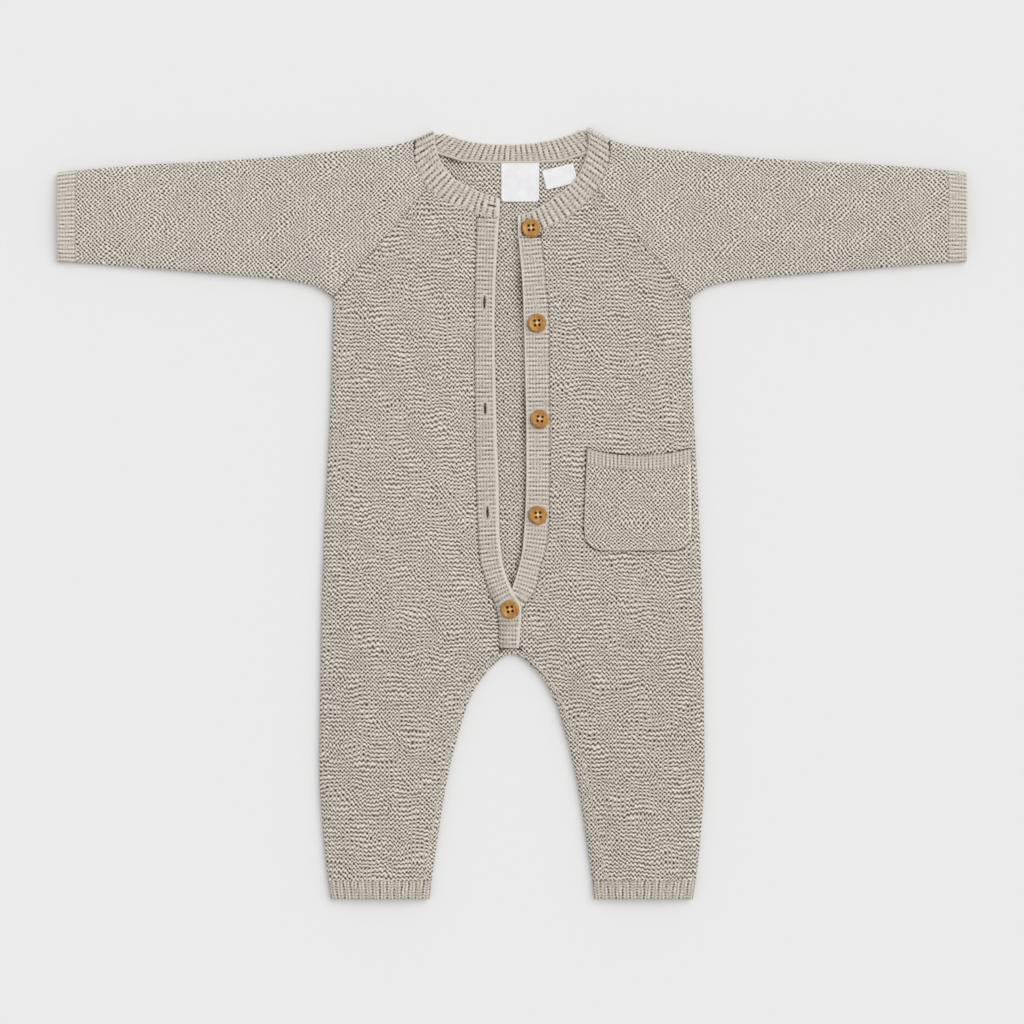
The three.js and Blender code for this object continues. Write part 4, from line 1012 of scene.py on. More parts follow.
for way, name in ((-1, "right"), (1, "left")):
    outer, inner, shares, isFront, t = sleeveNets()
    outer, inner = outer * [way, 1, 1], inner * [way, 1, 1]
    for net, face in ((outer, isFront), (inner, isFront[:: sleeve["innerEvery"]])):
        x, y = net[..., 0], net[..., 1]
        creased = creaseHeight(x, y) + 0.8 * np.maximum(0.3 + drift(x, y, 80, 6), 0)
        away = smooth(0, 14, np.minimum(net[..., 2] - middle, 3) * 5)
        net[..., 2] += np.where(face[:, None], creased * away, 0)
    area = netArea(outer, around=True)
    relief = knitRelief(*knitCells(outer[..., 1], outer[..., 0], *knits["sleeve"]))
    nearEdge = smooth(0, 2.5, outer[..., 2] - middle)
    ends = smooth(0, 0.01, t) * (1 - smooth(0.985, 1, t))
    outer[..., 2] += np.where(isFront[:, None], relief * nearEdge * ends, 0)
    outer[..., 2] -= np.where(isFront[:, None], 0.06 * smooth(0.994, 1, t), 0)
    fields = planFields((outer, inner), *knits["sleeve"], True, paintedShadeOf=evenly(shade["sleeve"]))
    onTop = outer[isFront, 0]
    ribJoins.append(onTop[onTop[:, 2] > middle + join["above"]] - [0, 0, join["sink"]])
    piece = closedShell("knitSleeve_" + name, outer, inner, fields, around=True)
    finishCloth(piece, "sleeve_" + name, "garter_knit", garterKnit, sleeve["flat"], ["floor"], area)
print("sleeves knitted")


ribbed = {"rise": 1.5, "innerEvery": 4, "lip": 0.7}


# A ribbed tube: the ribs run along it, raised on its upper face
def ribbedTube(pieceName, node, edgeA, edgeB, size):
    count = size["ribs"] * size["perRib"]
    shares, isFront = tubeShares(count, count // 2, 0.15)
    rows = size["rows"]
    t = np.linspace(0, 1, rows + 1)
    ends = [mix(np.array(p[0]), np.array(p[1]), t) for p in (edgeA[0], edgeA[1], edgeB[0], edgeB[1])]
    phase = shares * size["ribs"]
    depth = 0.8 + 0.35 * drift(np.floor(phase) * 7.0, np.zeros(len(phase)), 21, 3)
    ridge = (size["rise"] * depth * ribWave(phase))[:, None] * np.ones(rows + 1)
    nearer = np.minimum(shares, 1 - shares)
    ridge = ridge * smooth(0, 0.03, nearer)[:, None]
    outer = tubeNet(ends[:2], ends[2:], shares, isFront, True, rise=ribbed["rise"])
    area = netArea(outer, around=True)
    lip = ribbed["lip"] * smooth(0.9, 1, t) ** 2
    raised = ridge - lip[None, :] * smooth(0.02, 0.06, nearer)[:, None]
    outer[..., 2] += np.where(isFront[:, None], raised, 0)
    every = ribbed["innerEvery"]
    sparse = [end[::every] for end in ends]
    inner = tubeNet(sparse[:2], sparse[2:], shares[::every], isFront[::every], False, rise=ribbed["rise"])
    length = math.hypot(edgeA[0][1] - edgeA[0][0], edgeA[1][1] - edgeA[1][0])
    loops = t * length / size["stitch"]
    columns = (phase[:, None], phase[::every][:, None])
    loopRows = (loops[None, :], loops[None, ::every])
    looks = (size["pairs"], size["strength"], size["paintedShade"])
    fields = ribFields((outer, inner), columns, loopRows, [size["plain"]] * 2, *looks)
    piece = closedShell(pieceName, outer, inner, fields, around=True)
    finishCloth(piece, node, "rib_knit", ribKnit, size["flat"], ["floor"], area)


for way, name in ((-1, "right"), (1, "left")):
    cuffX = [way * x for x in cuff["x"]]
    ribbedTube("ribCuff_" + name, "cuff_" + name, (cuffX, cuff["upper"]), (cuffX, cuff["lower"]), cuff)
    outerX = [way * x for x in hem["side"]]
    innerX = [way * x for x in hem["inseam"]]
    ribbedTube("ribHem_" + name, "leg_hem_" + name, (outerX, hem["y"]), (innerX, hem["y"]), hem)
print("cuffs and hems knitted")


button = {
    "radius": 6.25,
    "thickness": 3,
    "rim": 0.55,
    "rimWidth": 1.7,
    "holeRadius": 1.0,
    "holeSpacing": 1.5,
    "segments": 72,
    "paleMiddle": 1.5,  # the middle is paler out to about here
    "places": [(12.9, 194.3), (17.0, 129.7), (19.0, 64.5), (17.7, -0.8), (-1.4, -64.7)],
    "turns": [4, 6, -6, 5, 9],
}


# A button's painted shadow: a dark ring in the knit's colour round it, darkest at the bottom and on the
# wearer's right
def buttonShadowRings(x, y):
    total = np.zeros(np.shape(x))
    for placeX, placeY in button["places"]:
        dx, dy = x - placeX, y - placeY
        away = np.hypot(dx, dy)
        dark = 0.22 - 0.2 * (dx + dy) / np.maximum(away, 0.1)
        total += dark * near(away - button["radius"] - 0.1, 0.6)
    return total


neckband = {
    "step": 0.62,
    "width": 14,
    "flatWidth": 17,
    "columns": 16,
    "frontPitch": 4.1,
    "backPitch": 3.75,
    "edge": 2.6,  # the pale edge that runs up over both ends
    "softness": 0.15,
    "pairs": 0.4,
    "strength": 0.95,
    "stitch": 2.0,
    "lip": 0.75,  # the free edge is this much thinner
    "slitRun": (2.4, 8.6),
    "slitWidth": 0.9,
}


def neckStations():
    reach = middle - wall / 2
    rows = []

    def station(row, turn, out):
        seam = [row[k] + out[k % 2] * reach * math.sin(turn) for k in range(4)]
        rows.append(seam + [turn, out[0], out[1], middle + reach * math.cos(turn)])

    outRight, outLeft = (-0.4, 0.92), (0.4, 0.92)
    for row in neckFrontRight:
        station(row, 0, outRight)
    for turn in np.linspace(0, np.pi, 9):
        station(neckFoldRight, turn, outRight)
    for row in neckBack:
        station(row, np.pi, (0, 1))
    for turn in np.linspace(np.pi, 0, 9):
        station(neckFoldLeft, turn, outLeft)
    for row in neckFrontLeft:
        station(row, 0, outLeft)
    return np.array(rows)


def neckNets():
    stations = neckStations()
    moves = np.diff(stations, axis=0)
    steps = [np.hypot(np.hypot(moves[:, k], moves[:, k + 1]), moves[:, 7]) for k in (0, 2)]
    run = np.concatenate([[0], np.cumsum((steps[0] + steps[1]) / 2)])
    rows = 4 * int(run[-1] / neckband["step"] / 4)
    at = np.linspace(0, run[-1], rows + 1)
    read = [np.interp(at, run, stations[:, k])[:, None] for k in range(8)]
    seamX, seamY, freeX, freeY, turn, outX, outY, z = read
    length = np.hypot(outX, outY)
    share = np.linspace(0, 1, neckband["columns"] + 1)[None, :]
    upward = np.cos(turn)
    pitch = mix(neckband["backPitch"], neckband["frontPitch"], smooth(-1, 1, upward[:, 0]))
    phase = np.concatenate([[0], np.cumsum(np.diff(at) / pitch[1:])])
    inside = smooth(0, 0.14, share) * (1 - smooth(0.88, 1, share))
    ridge = ribRise * ribWave(phase)[:, None] * inside
    thin = neckband["lip"] * smooth(0.84, 1, share) ** 2
    nets = []
    for way in (1, -1):
        facing = np.maximum(0, way * upward)
        offset = way * (wall / 2 + (ridge - thin) * facing)
        nets.append(
            np.stack(
                [
                    mix(seamX, freeX, share) + outX / length * np.sin(turn) * offset,
                    mix(seamY, freeY, share) + outY / length * np.sin(turn) * offset,
                    np.broadcast_to(z, offset.shape) + upward * offset,
                ],
                -1,
            )
        )
    # the last buttonhole lies across the end of the band
    first, last = [int(np.searchsorted(at, place)) for place in neckband["slitRun"]]
    column = neckband["columns"] // 2
    for i in range(first, last + 1):
        atSlit = (i - first) / (last - first) * 2 - 1
        gape = math.sqrt(max(0.02, 1 - atSlit**2)) * neckband["slitWidth"] / 2
        for net in nets:
            middlePoint = (net[i, column] + net[i, column + 1]) / 2
            across = net[i, column + 2] - net[i, column - 1]
            across = across / np.linalg.norm(across)
            net[i, column] = middlePoint - across * gape
            net[i, column + 1] = middlePoint + across * gape
    hole = (first, last, column)
    return nets, hole, phase, share, run[-1], at


nets, hole, phase, share, neckRun, at = neckNets()
area = (netArea(nets[0]) + netArea(nets[1])) / 2
cellsV = share * neckband["width"] / neckband["stitch"]
fromEnd = np.minimum(at, neckRun - at)[:, None]
slitAt = sum(neckband["slitRun"]) / 2
fromSlit = np.hypot((at[:, None] - slitAt) / 5, (share - 0.53) * neckband["width"] / 3)
atEnd = 1 - smooth(neckband["edge"] * 0.75, neckband["edge"], fromEnd)
plainEdge = np.maximum(smooth(0.9, 0.98, share) * 0.8, atEnd)
plainEdge = np.maximum(plainEdge, 0.75 * (1 - smooth(0.8, 1.2, fromSlit)))
plainEdge = np.maximum(plainEdge, neckband["softness"])
# Shade painted on the neckband: a little all over, a painted shadow ring round the top button, and painted
# shade in its buttonhole
neckPaintedShade = 0.02 + buttonShadowRings(nets[0][..., 0], nets[0][..., 1])
neckPaintedShade[hole[0] : hole[1] + 1, hole[2] : hole[2] + 2] = shade["neckSlit"]
looks = (neckband["pairs"], neckband["strength"], neckPaintedShade)
fields = ribFields(nets, [phase[:, None]] * 2, [cellsV] * 2, [plainEdge] * 2, *looks)
piece = closedShell("ribNeckband", nets[0], nets[1], fields, holes=[hole])
flat = (round(neckRun) + 2, neckband["flatWidth"])
finishCloth(piece, "neckband", "rib_knit", ribKnit, flat, ["back"], area)
print("neckband knitted")


bands = {
    "pitch": 3.05,
    "softness": 0.22,
    "pairs": 0.15,
    "rowStep": 0.44,
    "stitch": 2.1,
    "slitShare": 0.465,
    "slitLength": 9,
    "slitWidth": 1.6,
    "leanReach": 8,  # the ribs turn with the band's edges, smoothly over this length
    "slitY": [-64.7, 0.9, 71.3, 143.7],
    "endThin": 1.2,  # both bands thin out where they are sewn into the crotch
    "endReach": 4,
    "strength": 0.72,
    # button band, buttonhole band
    # painted shade all over each band
    "paintedShade": (0.02, 0.05),
    "bead": (0.09, 0.165),  # the smooth rolled edge's share of the width
    "flat": ((18.5, 280), (17.5, 294)),
}


# How near a point lies to a button: 1 under it, 0 from about 5 mm beside it
def nearButtons(x, y):
    nearest = np.min([np.hypot(x - placeX, y - placeY) for placeX, placeY in button["places"]], 0)
    return 1 - smooth(button["radius"], button["radius"] + 5, nearest)


def bandLift(x, y):
    byLength = 1 - smooth(overlap["fullY"], overlap["startY"], y)
    byWidth = smooth(0, overlap["ramp"], x - bandSeam(buttonholeBand, y))
    return overlap["lift"] * byLength * byWidth


def bandTop(band, x, y):
    return frontTop(x, y) + (bandLift(x, y) if band is buttonholeBand else 0)


def bandNets(band, slits):
    bead = bands["bead"][slits]
    low, high = band["y"][0], band["y"][-1]
    rows = int((high - low) / bands["rowStep"])
    y = np.linspace(low, high, rows + 1)[:, None]
    shares = list(np.linspace(0, 1 - bead, 17))
    shares += [1 - bead * s for s in (0.88, 0.7, 0.5, 0.3, 0.14, 0.04, 0)]
    if slits:
        nearest = int(np.argmin([abs(s - bands["slitShare"]) for s in shares]))
        shares[nearest] = bands["slitShare"] - 0.012
        shares[nearest + 1] = bands["slitShare"] + 0.012
    share = np.array(shares)[None, :]
    seam, free = bandSeam(band, y), bandFree(band, y)
    x = mix(seam, free, share)
    holes = []
    if slits:
        for centre in bands["slitY"]:
            half = bands["slitLength"] / 2
            first, last = [int(round((centre + s * half - low) / (high - low) * rows)) for s in (-1, 1)]
            inside = np.arange(first, last + 1)
            bow = np.sqrt(np.maximum(0.03, 1 - ((y[inside, 0] - centre) / half) ** 2))
            bow = bow * bands["slitWidth"] / 2
            centreX = (x[inside, nearest] + x[inside, nearest + 1]) / 2
            x[inside, nearest], x[inside, nearest + 1] = centreX - bow, centreX + bow
            holes.append((first, last, nearest))
    y = np.broadcast_to(y, x.shape)
    bend = np.gradient((seam + free)[:, 0] / 2, y[:, 0])
    width = int(bands["leanReach"] / bands["rowStep"])
    bend = np.convolve(np.pad(bend, width, "edge"), np.full(2 * width + 1, 1 / (2 * width + 1)), "valid")
    base = bandTop(band, x, y)
    area = netArea(np.stack([x, y, base], -1))
    phase = (y - low + bend[:, None] * (x - seam)) / bands["pitch"]
    inBead = np.clip((share - (1 - bead)) / bead, 0, 1)
    uneven = 0.75 + 0.35 * drift(x * 0.3, y, 30, 12)
    ridge = ribRise * uneven * ribWave(phase)
    ridge = ridge * smooth(0, 0.1, share) * (1 - smooth(0, 0.12, inBead))
    roll = 0.45 * np.sqrt(np.maximum(0, 1 - (2 * inBead - 1) ** 2)) - 0.8 * inBead**6
    roll = np.where(inBead > 0, roll, 0)
    seamDip = 0.25 * (1 - smooth(0, 0.07, share))
    seamDip = seamDip + bands["endThin"] * (1 - smooth(0, bands["endReach"], y - low))
    outer = np.stack([x, y, base + ridge + roll - seamDip], -1)
    inner = np.stack([x, y, base - wall], -1)
    plain = mix(bands["softness"], 1, smooth(0, 0.2, inBead)) + 0 * x
    plain = np.maximum(plain, 0.75 * nearButtons(x, y))
    for centre in bands["slitY"][1:] if slits else ():
        fromSlit = np.hypot((y - centre) / 7.6, (share - bands["slitShare"]) * (free - seam) / 3.1)
        plain = np.maximum(plain, 0.8 * (1 - smooth(0.75, 1.15, fromSlit)))
    loops = np.abs(x - seam) / bands["stitch"]
    # Shade painted on the bands: a little all over, a painted shadow ring round each button, and painted
    # shade in the buttonholes
    paintedShade = bands["paintedShade"][slits] + buttonShadowRings(x, y)
    for first, last, column in holes:
        paintedShade[first : last + 1, column : column + 2] = shade["slit"]
    looks = (bands["pairs"], bands["strength"], paintedShade)
    fields = ribFields((outer, inner), [phase] * 2, [loops] * 2, [plain] * 2, *looks)
    return outer, inner, fields, holes, area


for name, node, band, slits, restsOn in (
    ("ribButtonholeBand", "buttonhole_band", buttonholeBand, True, ["back", "button_band"]),
    ("ribButtonBand", "button_band", buttonBand, False, ["back"]),
):
    outer, inner, fields, holes, area = bandNets(band, slits)
    piece = closedShell(name, outer, inner, fields, holes=holes)
    finishCloth(piece, node, "rib_knit", ribKnit, bands["flat"][slits], restsOn, area)
print("button bands knitted")


def pocketNet(u, v, topOf, bottomOf, over):
    u, v = u[None, :], v[:, None]
    y = mix(topOf(u), bottomOf(u), v)
    left, right = pocketSides(y)
    x = mix(left, right, u)
    return np.stack([x, y, frontTop(x, y) + seamGap + over(x, y, u, v)], -1)


def pocketEdge(x, y, u):
    left, right = pocketSides(y)
    return np.minimum(np.minimum(x - left, right - x), y - pocketBottom(u))


def overPocket(x, y, u, v):
    return pocket["thickness"] - 1.5 * (1 - ellipse(pocketEdge(x, y, u) / 1.8))


def overBand(x, y, u, v):
    return pocket["thickness"] + 0 * x


def flatUnder(x, y, u, v):
    return 0 * x


def underBand(u):
    return mouthY(u) - pocket["bandHeight"]


def bodyTop(u):
    return underBand(u) - cloth["visibleGap"]


u = np.linspace(0, 1, pocket["columns"] + 1)
v = np.linspace(0, 1, pocket["rows"] + 1)
every = pocket["innerEvery"]
outer = pocketNet(u, v, bodyTop, pocketBottom, overPocket)
inner = pocketNet(u[::every], v[::every], bodyTop, pocketBottom, flatUnder)
edge = pocketEdge(outer[..., 0], outer[..., 1], u[None, :])
relief = knitRelief(*knitCells(outer[..., 0], outer[..., 1], *knits["pocket"]))
outer[..., 2] += smooth(0.5, 3, edge) * relief


def pocketPlain(x, y):
    left, right = pocketSides(y)
    edge = pocketEdge(x, y, (x - left) / (right - left))
    # the border is paler still on the right side: a painted highlight where the edge faces the key light
    strength = np.where(x > right - 4, 0.75, 0.4)
    return strength * (1 - smooth(pocket["border"] * 0.7, pocket["border"] * 1.3, edge))


paintedShadeOf = evenly(shade["pocket"])
fields = planFields((outer, inner), *knits["pocket"], plainOf=pocketPlain, paintedShadeOf=paintedShadeOf)
pocketPiece = closedShell("knitPocket", outer, inner, fields)

ribU = np.linspace(0, 1, pocket["ribs"] * 6 + 1)
ribV = np.linspace(0, 1, 25)
outer = pocketNet(ribU, ribV, mouthY, underBand, overBand)
inner = pocketNet(ribU, ribV, mouthY, underBand, flatUnder)
phase = ribU * pocket["ribs"]
ridge = ribRise * 0.6 * ribWave(phase)[None, :]
across = ribV[:, None]
roll = 0.35 * near(across - 0.09, 0.07) - 1.0 * (1 - smooth(0, 0.06, across))
atSide = 1 - smooth(0, 0.02, np.minimum(ribU, 1 - ribU))[None, :]
outer[..., 2] += ridge * smooth(0.14, 0.24, across) + roll - 1.0 * atSide
plainTop = np.maximum(0.4 * np.maximum(1 - smooth(0.12, 0.22, across), atSide), 0.3)
rowCells = across * pocket["bandHeight"] / pocket["stitch"]
looks = (pocket["pairs"], pocket["strength"], pocket["bandPaintedShade"])
fields = ribFields((outer, inner), [phase[None, :]] * 2, [rowCells] * 2, [plainTop] * 2, *looks)
pocketBandPiece = closedShell("ribPocketBand", outer, inner, fields)
finishPiece(pocketBandPiece, "pocket_band", ribKnit)
pocketSize = (pocket["flat"], ["front_left"], pocket["cutArea"], [pocketBandPiece])
finishCloth(pocketPiece, "pocket", "garter_knit", garterKnit, *pocketSize)
print("pocket knitted")


label = {"thickness": 0.4, "height": 2.7, "stitch": 0.35}
neckLabel = {"x": (-7.4, 18.4), "y": (212.4, 239.2), "corner": 2, "turn": 0, "lift": 0.5}
sizeTag = {"x": (21.6, 43.6), "y": (222.9, 236.4), "corner": 1.2, "turn": 14, "lift": 0.3}


# Woven polyester satin: white, smooth, with a soft shine along its threads
def satinMaterial():
    material, tree = newMaterial("labelSatin")
    place = addNode(tree, "ShaderNodeTexCoord").outputs["Object"]
    uv = addNode(tree, "ShaderNodeUVMap", uv_map="Knit").outputs[0]
    threads = {"Vector": uv, "Scale": 8.0, "Distortion": 0.6}
    weave = addNode(tree, "ShaderNodeTexWave", threads, bands_direction="Y")
    colour = addNode(tree, "ShaderNodeValToRGB", {0: noiseOf(tree, place, 160.0, 2.0)})
    setRamp(colour, [(0.3, "#EBEBEE"), (0.7, "#F5F5F6")])
    look = {"Roughness": 0.5, "Sheen Weight": 0.1}
    endMaterial(tree, colour.outputs[0], (weave.outputs["Fac"], 0.00008, 0.5), look)
    return material


satin = satinMaterial()


def labelPiece(name, node, size):
    (left, right), (bottom, top), corner = size["x"], size["y"], size["corner"]
    width, height = right - left, top - bottom
    u = np.linspace(0, 1, 33)[None, :]
    v = np.linspace(0, 1, 33)[:, None]
    inCorner = np.maximum(0, corner - np.minimum(u, 1 - u) * width)
    low = corner - np.sqrt(corner**2 - inCorner**2)
    across = (u - 0.5) * width + 0 * v
    up = mix(height, low, v) - height / 2
    angle = math.radians(size["turn"])
    x = (left + right) / 2 + across * math.cos(angle) - up * math.sin(angle)
    y = (bottom + top) / 2 + across * math.sin(angle) + up * math.cos(angle)
    bend = size["lift"] * (smooth(0.5, 1, v) * (0.6 + 0.4 * np.cos(fullTurn * (u - 0.2))) + 0 * u)
    hemFold = 0.12 * (1 - smooth(0.9, 1.6, np.minimum(np.minimum(u, 1 - u) * width, v * height)))
    under = label["height"] + bend
    nets = [np.stack([x, y, z], -1) for z in (under + label["thickness"] + hemFold, under + 0 * hemFold)]
    cells = np.stack([across / label["stitch"] * 0.02, up / label["stitch"] * 0.02], -1)
    fields = {"cells": [cells] * 2, **{field: [0 * x] * 2 for field in fieldNames}}
    piece = closedShell(name, nets[0], nets[1], fields)
    flat = (width + 0.5, height + 0.5)
    finishCloth(piece, node, "label_satin", satin, flat, ["back"], netArea(nets[0]))


labelPiece("wovenNeckLabel", "neck_label", neckLabel)
labelPiece("wovenSizeTag", "size_tag", sizeTag)
print("labels laid in")


# Olive wood, turned and lightly oiled: fine streaks, a darker turned rim and a soft shine
def woodMaterial():
    material, tree = newMaterial("oiledOliveWood")
    place = addNode(tree, "ShaderNodeTexCoord").outputs["Object"]
    stretch = {0: place, 2: (0.0, 0.0, 0.45), 3: (1.0, 0.14, 1.0)}
    stretched = addNode(tree, "ShaderNodeMapping", stretch).outputs[0]
    grain = noiseOf(tree, stretched, 1300.0, 4.0)
    cloud = noiseOf(tree, place, 190.0, 1.0)
    share = addNode(tree, "ShaderNodeMix", {0: 0.35, 2: grain, 3: cloud}, data_type="FLOAT").outputs[0]
    paleMiddle = addNode(tree, "ShaderNodeAttribute", attribute_name="paleMiddle").outputs["Fac"]
    colour = addNode(tree, "ShaderNodeValToRGB", {0: maths(tree, "MULTIPLY_ADD", paleMiddle, 0.42, share)})
    setRamp(colour, [(0.3, "#87521B"), (0.48, "#B37A2E"), (0.64, "#CE9B48"), (0.95, "#F1CE96")])
    look = {"Roughness": 0.42, "IOR": 1.5, "Coat Weight": 0.12, "Coat Roughness": 0.3}
    endMaterial(tree, colour.outputs[0], (grain, 0.00006, 0.4), look)
    return material


wood = woodMaterial()


def turnedMesh(name, profile, segments):
    work = bmesh.new()
    rings = []
    for radius, z in profile:
        if radius == 0:
            rings.append([work.verts.new((0, 0, z))])
        else:
            angles = [fullTurn * k / segments for k in range(segments)]
            rings.append([work.verts.new((radius * math.cos(a), radius * math.sin(a), z)) for a in angles])
    for low, high in zip(rings[:-1], rings[1:]):
        for k in range(segments):
            after = (k + 1) % segments
            corners = [low[k % len(low)], low[after % len(low)]]
            corners += [high[after % len(high)], high[k % len(high)]]
            work.faces.new(list(dict.fromkeys(corners)))
    for face in work.faces:
        face.smooth = True
    mesh = bpy.data.meshes.new(name)
    work.to_mesh(mesh)
    work.free()
    pointOut(mesh)
    return mesh


holePlaces = [(x * button["holeSpacing"], y * button["holeSpacing"]) for x in (-1, 1) for y in (-1, 1)]


def buttonPiece(name, node, place, turn, bottom):
    radius, thickness = button["radius"], button["thickness"]
    dish = thickness - button["rim"]
    inner = radius - button["rimWidth"]
    profile = [(0, 0), (radius - 1.2, 0), (radius - 0.5, 0.25), (radius - 0.08, 0.9), (radius, 1.3)]
    rim = [(0.12, 1), (0.4, 0.45), (0.8, 0.1), (1.2, 0)]
    profile += [(radius - inwards, thickness - down) for inwards, down in rim]
    profile += [(inner + 0.2, thickness - 0.1), (inner - 0.15, dish + 0.15), (inner - 0.6, dish)]
    hollow = [(2.9, 0.06), (2.2, 0.08), (1.5, 0.05), (0.8, 0), (0, -0.02)]
    profile += [(at, dish - down) for at, down in hollow]
    disc = linked(name, turnedMesh(name, profile, button["segments"]), False)
    cutter = bmesh.new()
    sizes = {"segments": 20, "radius1": button["holeRadius"], "radius2": button["holeRadius"], "depth": 12}
    for holeX, holeY in holePlaces:
        hole = bmesh.ops.create_cone(cutter, cap_ends=True, **sizes)
        bmesh.ops.translate(cutter, verts=hole["verts"], vec=(holeX, holeY, thickness / 2))
    cutMesh = bpy.data.meshes.new(name + "Holes")
    cutter.to_mesh(cutMesh)
    cutter.free()
    drill = linked(name + "Holes", cutMesh, False)
    cut = disc.modifiers.new("holes", "BOOLEAN")
    cut.operation, cut.solver, cut.object = "DIFFERENCE", "EXACT", drill
    bpy.context.view_layer.update()
    drilled = bpy.data.meshes.new_from_object(disc.evaluated_get(bpy.context.evaluated_depsgraph_get()))
    disc.modifiers.clear()
    disc.data = drilled
    bpy.data.objects.remove(drill)
    angle = math.radians(turn)
    points = np.empty(len(drilled.vertices) * 3, np.float32)
    drilled.vertices.foreach_get("co", points)
    points = points.reshape(-1, 3)
    x = points[:, 0] * math.cos(angle) - points[:, 1] * math.sin(angle) + place[0]
    y = points[:, 0] * math.sin(angle) + points[:, 1] * math.cos(angle) + place[1] + originY
    moved = np.stack([x, y, points[:, 2] + bottom], -1) * millimetre
    drilled.vertices.foreach_set("co", moved.astype(np.float32).ravel())
    drilled.set_sharp_from_angle(angle=math.radians(50))
    drilled.update()
    paleMiddle = near(np.hypot(points[:, 0], points[:, 1]), button["paleMiddle"]) * (points[:, 2] > dish - 0.3)
    setField(drilled, "paleMiddle", paleMiddle)
    drilled.materials.clear()
    finishPiece(disc, node, wood)
    return bottom + dish


# Thread that goes down through the holes of each button, near-black as painted shade inside the holes
threadPaths = []
for k, place in enumerate(button["places"]):
    node = f"button_{k + 1}"
    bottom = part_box(node)[0][2] / millimetre
    face = buttonPiece(f"woodButton_{k + 1}", node, place, button["turns"][k], bottom)
    turn = math.radians(button["turns"][k])
    for holeX, holeY in holePlaces:
        x = place[0] + holeX * math.cos(turn) - holeY * math.sin(turn)
        y = place[1] + holeX * math.sin(turn) + holeY * math.cos(turn)
        threadPaths.append([(x, y, bottom + 0.1), (x, y, face - 0.9)])
print("buttons turned")


def newTree(name, sizes):
    tree = bpy.data.node_groups.new(name, "GeometryNodeTree")
    tree.interface.new_socket("Geometry", in_out="INPUT", socket_type="NodeSocketGeometry")
    for title, value in sizes.items():
        socket = tree.interface.new_socket(title, in_out="INPUT", socket_type="NodeSocketFloat")
        socket.default_value = value
    tree.interface.new_socket("Geometry", in_out="OUTPUT", socket_type="NodeSocketGeometry")
    return tree, tree.nodes.new("NodeGroupInput")


def endTree(tree, made, material):
    solid = addNode(tree, "GeometryNodeRealizeInstances", {0: made.outputs[0]})
    rounded = addNode(tree, "GeometryNodeSetShadeSmooth", {0: solid.outputs[0]})
    dyed = {"Geometry": rounded.outputs[0], "Material": material}
    coloured = addNode(tree, "GeometryNodeSetMaterial", dyed)
    addNode(tree, "NodeGroupOutput", {0: coloured.outputs[0]})
    return tree


# One plump stitch after the other along a path, leaning to either side in turn
def stitchTree(material):
    sizes = {"Spacing": 0.0028, "Length": 0.0032, "Thickness": 0.0011, "Lean": 0.4, "Unevenness": 0.15}
    tree, given = newTree("stitchRow", sizes)
    curve = addNode(tree, "GeometryNodeMeshToCurve", {0: given.outputs["Geometry"]})
    spacing = {"Curve": curve.outputs[0], "Length": given.outputs["Spacing"]}
    points = addNode(tree, "GeometryNodeResampleCurve", spacing, mode="LENGTH")
    loop = addNode(tree, "GeometryNodeMeshUVSphere", {"Segments": 7, "Rings": 6, "Radius": 0.5})
    long, thick = given.outputs["Length"], given.outputs["Thickness"]
    scale = addNode(tree, "ShaderNodeCombineXYZ", {0: long, 1: thick, 2: thick})
    shaped = addNode(tree, "GeometryNodeTransform", {"Geometry": loop.outputs[0], "Scale": scale.outputs[0]})
    tangent = addNode(tree, "GeometryNodeInputTangent")
    aims = {"axis": "X", "pivot_axis": "Z"}
    aimed = addNode(tree, "FunctionNodeAlignRotationToVector", {"Vector": tangent.outputs[0]}, **aims)
    index = addNode(tree, "GeometryNodeInputIndex")
    leanSide = maths(tree, "MULTIPLY_ADD", maths(tree, "MODULO", index.outputs[0], 2.0), 2.0, -1.0)
    lean = maths(tree, "MULTIPLY", leanSide, given.outputs["Lean"])
    turn = addNode(tree, "FunctionNodeAxisAngleToRotation", {"Axis": (0.0, 0.0, 1.0), "Angle": lean})
    turned = {0: aimed.outputs[0], 1: turn.outputs[0]}
    facing = addNode(tree, "FunctionNodeRotateRotation", turned, rotation_space="LOCAL")
    low, high = [maths(tree, step, 1.0, given.outputs["Unevenness"]) for step in ("SUBTRACT", "ADD")]
    uneven = addNode(tree, "FunctionNodeRandomValue", {2: low, 3: high, "Seed": 11}, data_type="FLOAT")
    stitches = {"Points": points.outputs[0], "Instance": shaped.outputs[0]}
    stitches.update({"Rotation": facing.outputs[0], "Scale": uneven.outputs[1]})
    placed = addNode(tree, "GeometryNodeInstanceOnPoints", stitches)
    return endTree(tree, placed, material)


# A yarn of even thickness along a path
def yarnTree(material):
    tree, given = newTree("yarnAlong", {"Thickness": 0.001})
    curve = addNode(tree, "GeometryNodeMeshToCurve", {0: given.outputs["Geometry"]})
    circle = {"Resolution": 8, "Radius": maths(tree, "MULTIPLY", given.outputs["Thickness"], 0.5)}
    ring = addNode(tree, "GeometryNodeCurvePrimitiveCircle", circle, mode="RADIUS")
    swept = {"Curve": curve.outputs[0], "Profile Curve": ring.outputs[0], "Fill Caps": True}
    tube = addNode(tree, "GeometryNodeCurveToMesh", swept)
    return endTree(tree, tube, material)


stitchRow = stitchTree(paleYarn)
yarnAlong = yarnTree(paleYarn)
threadDown = yarnTree(holeShadeThread)


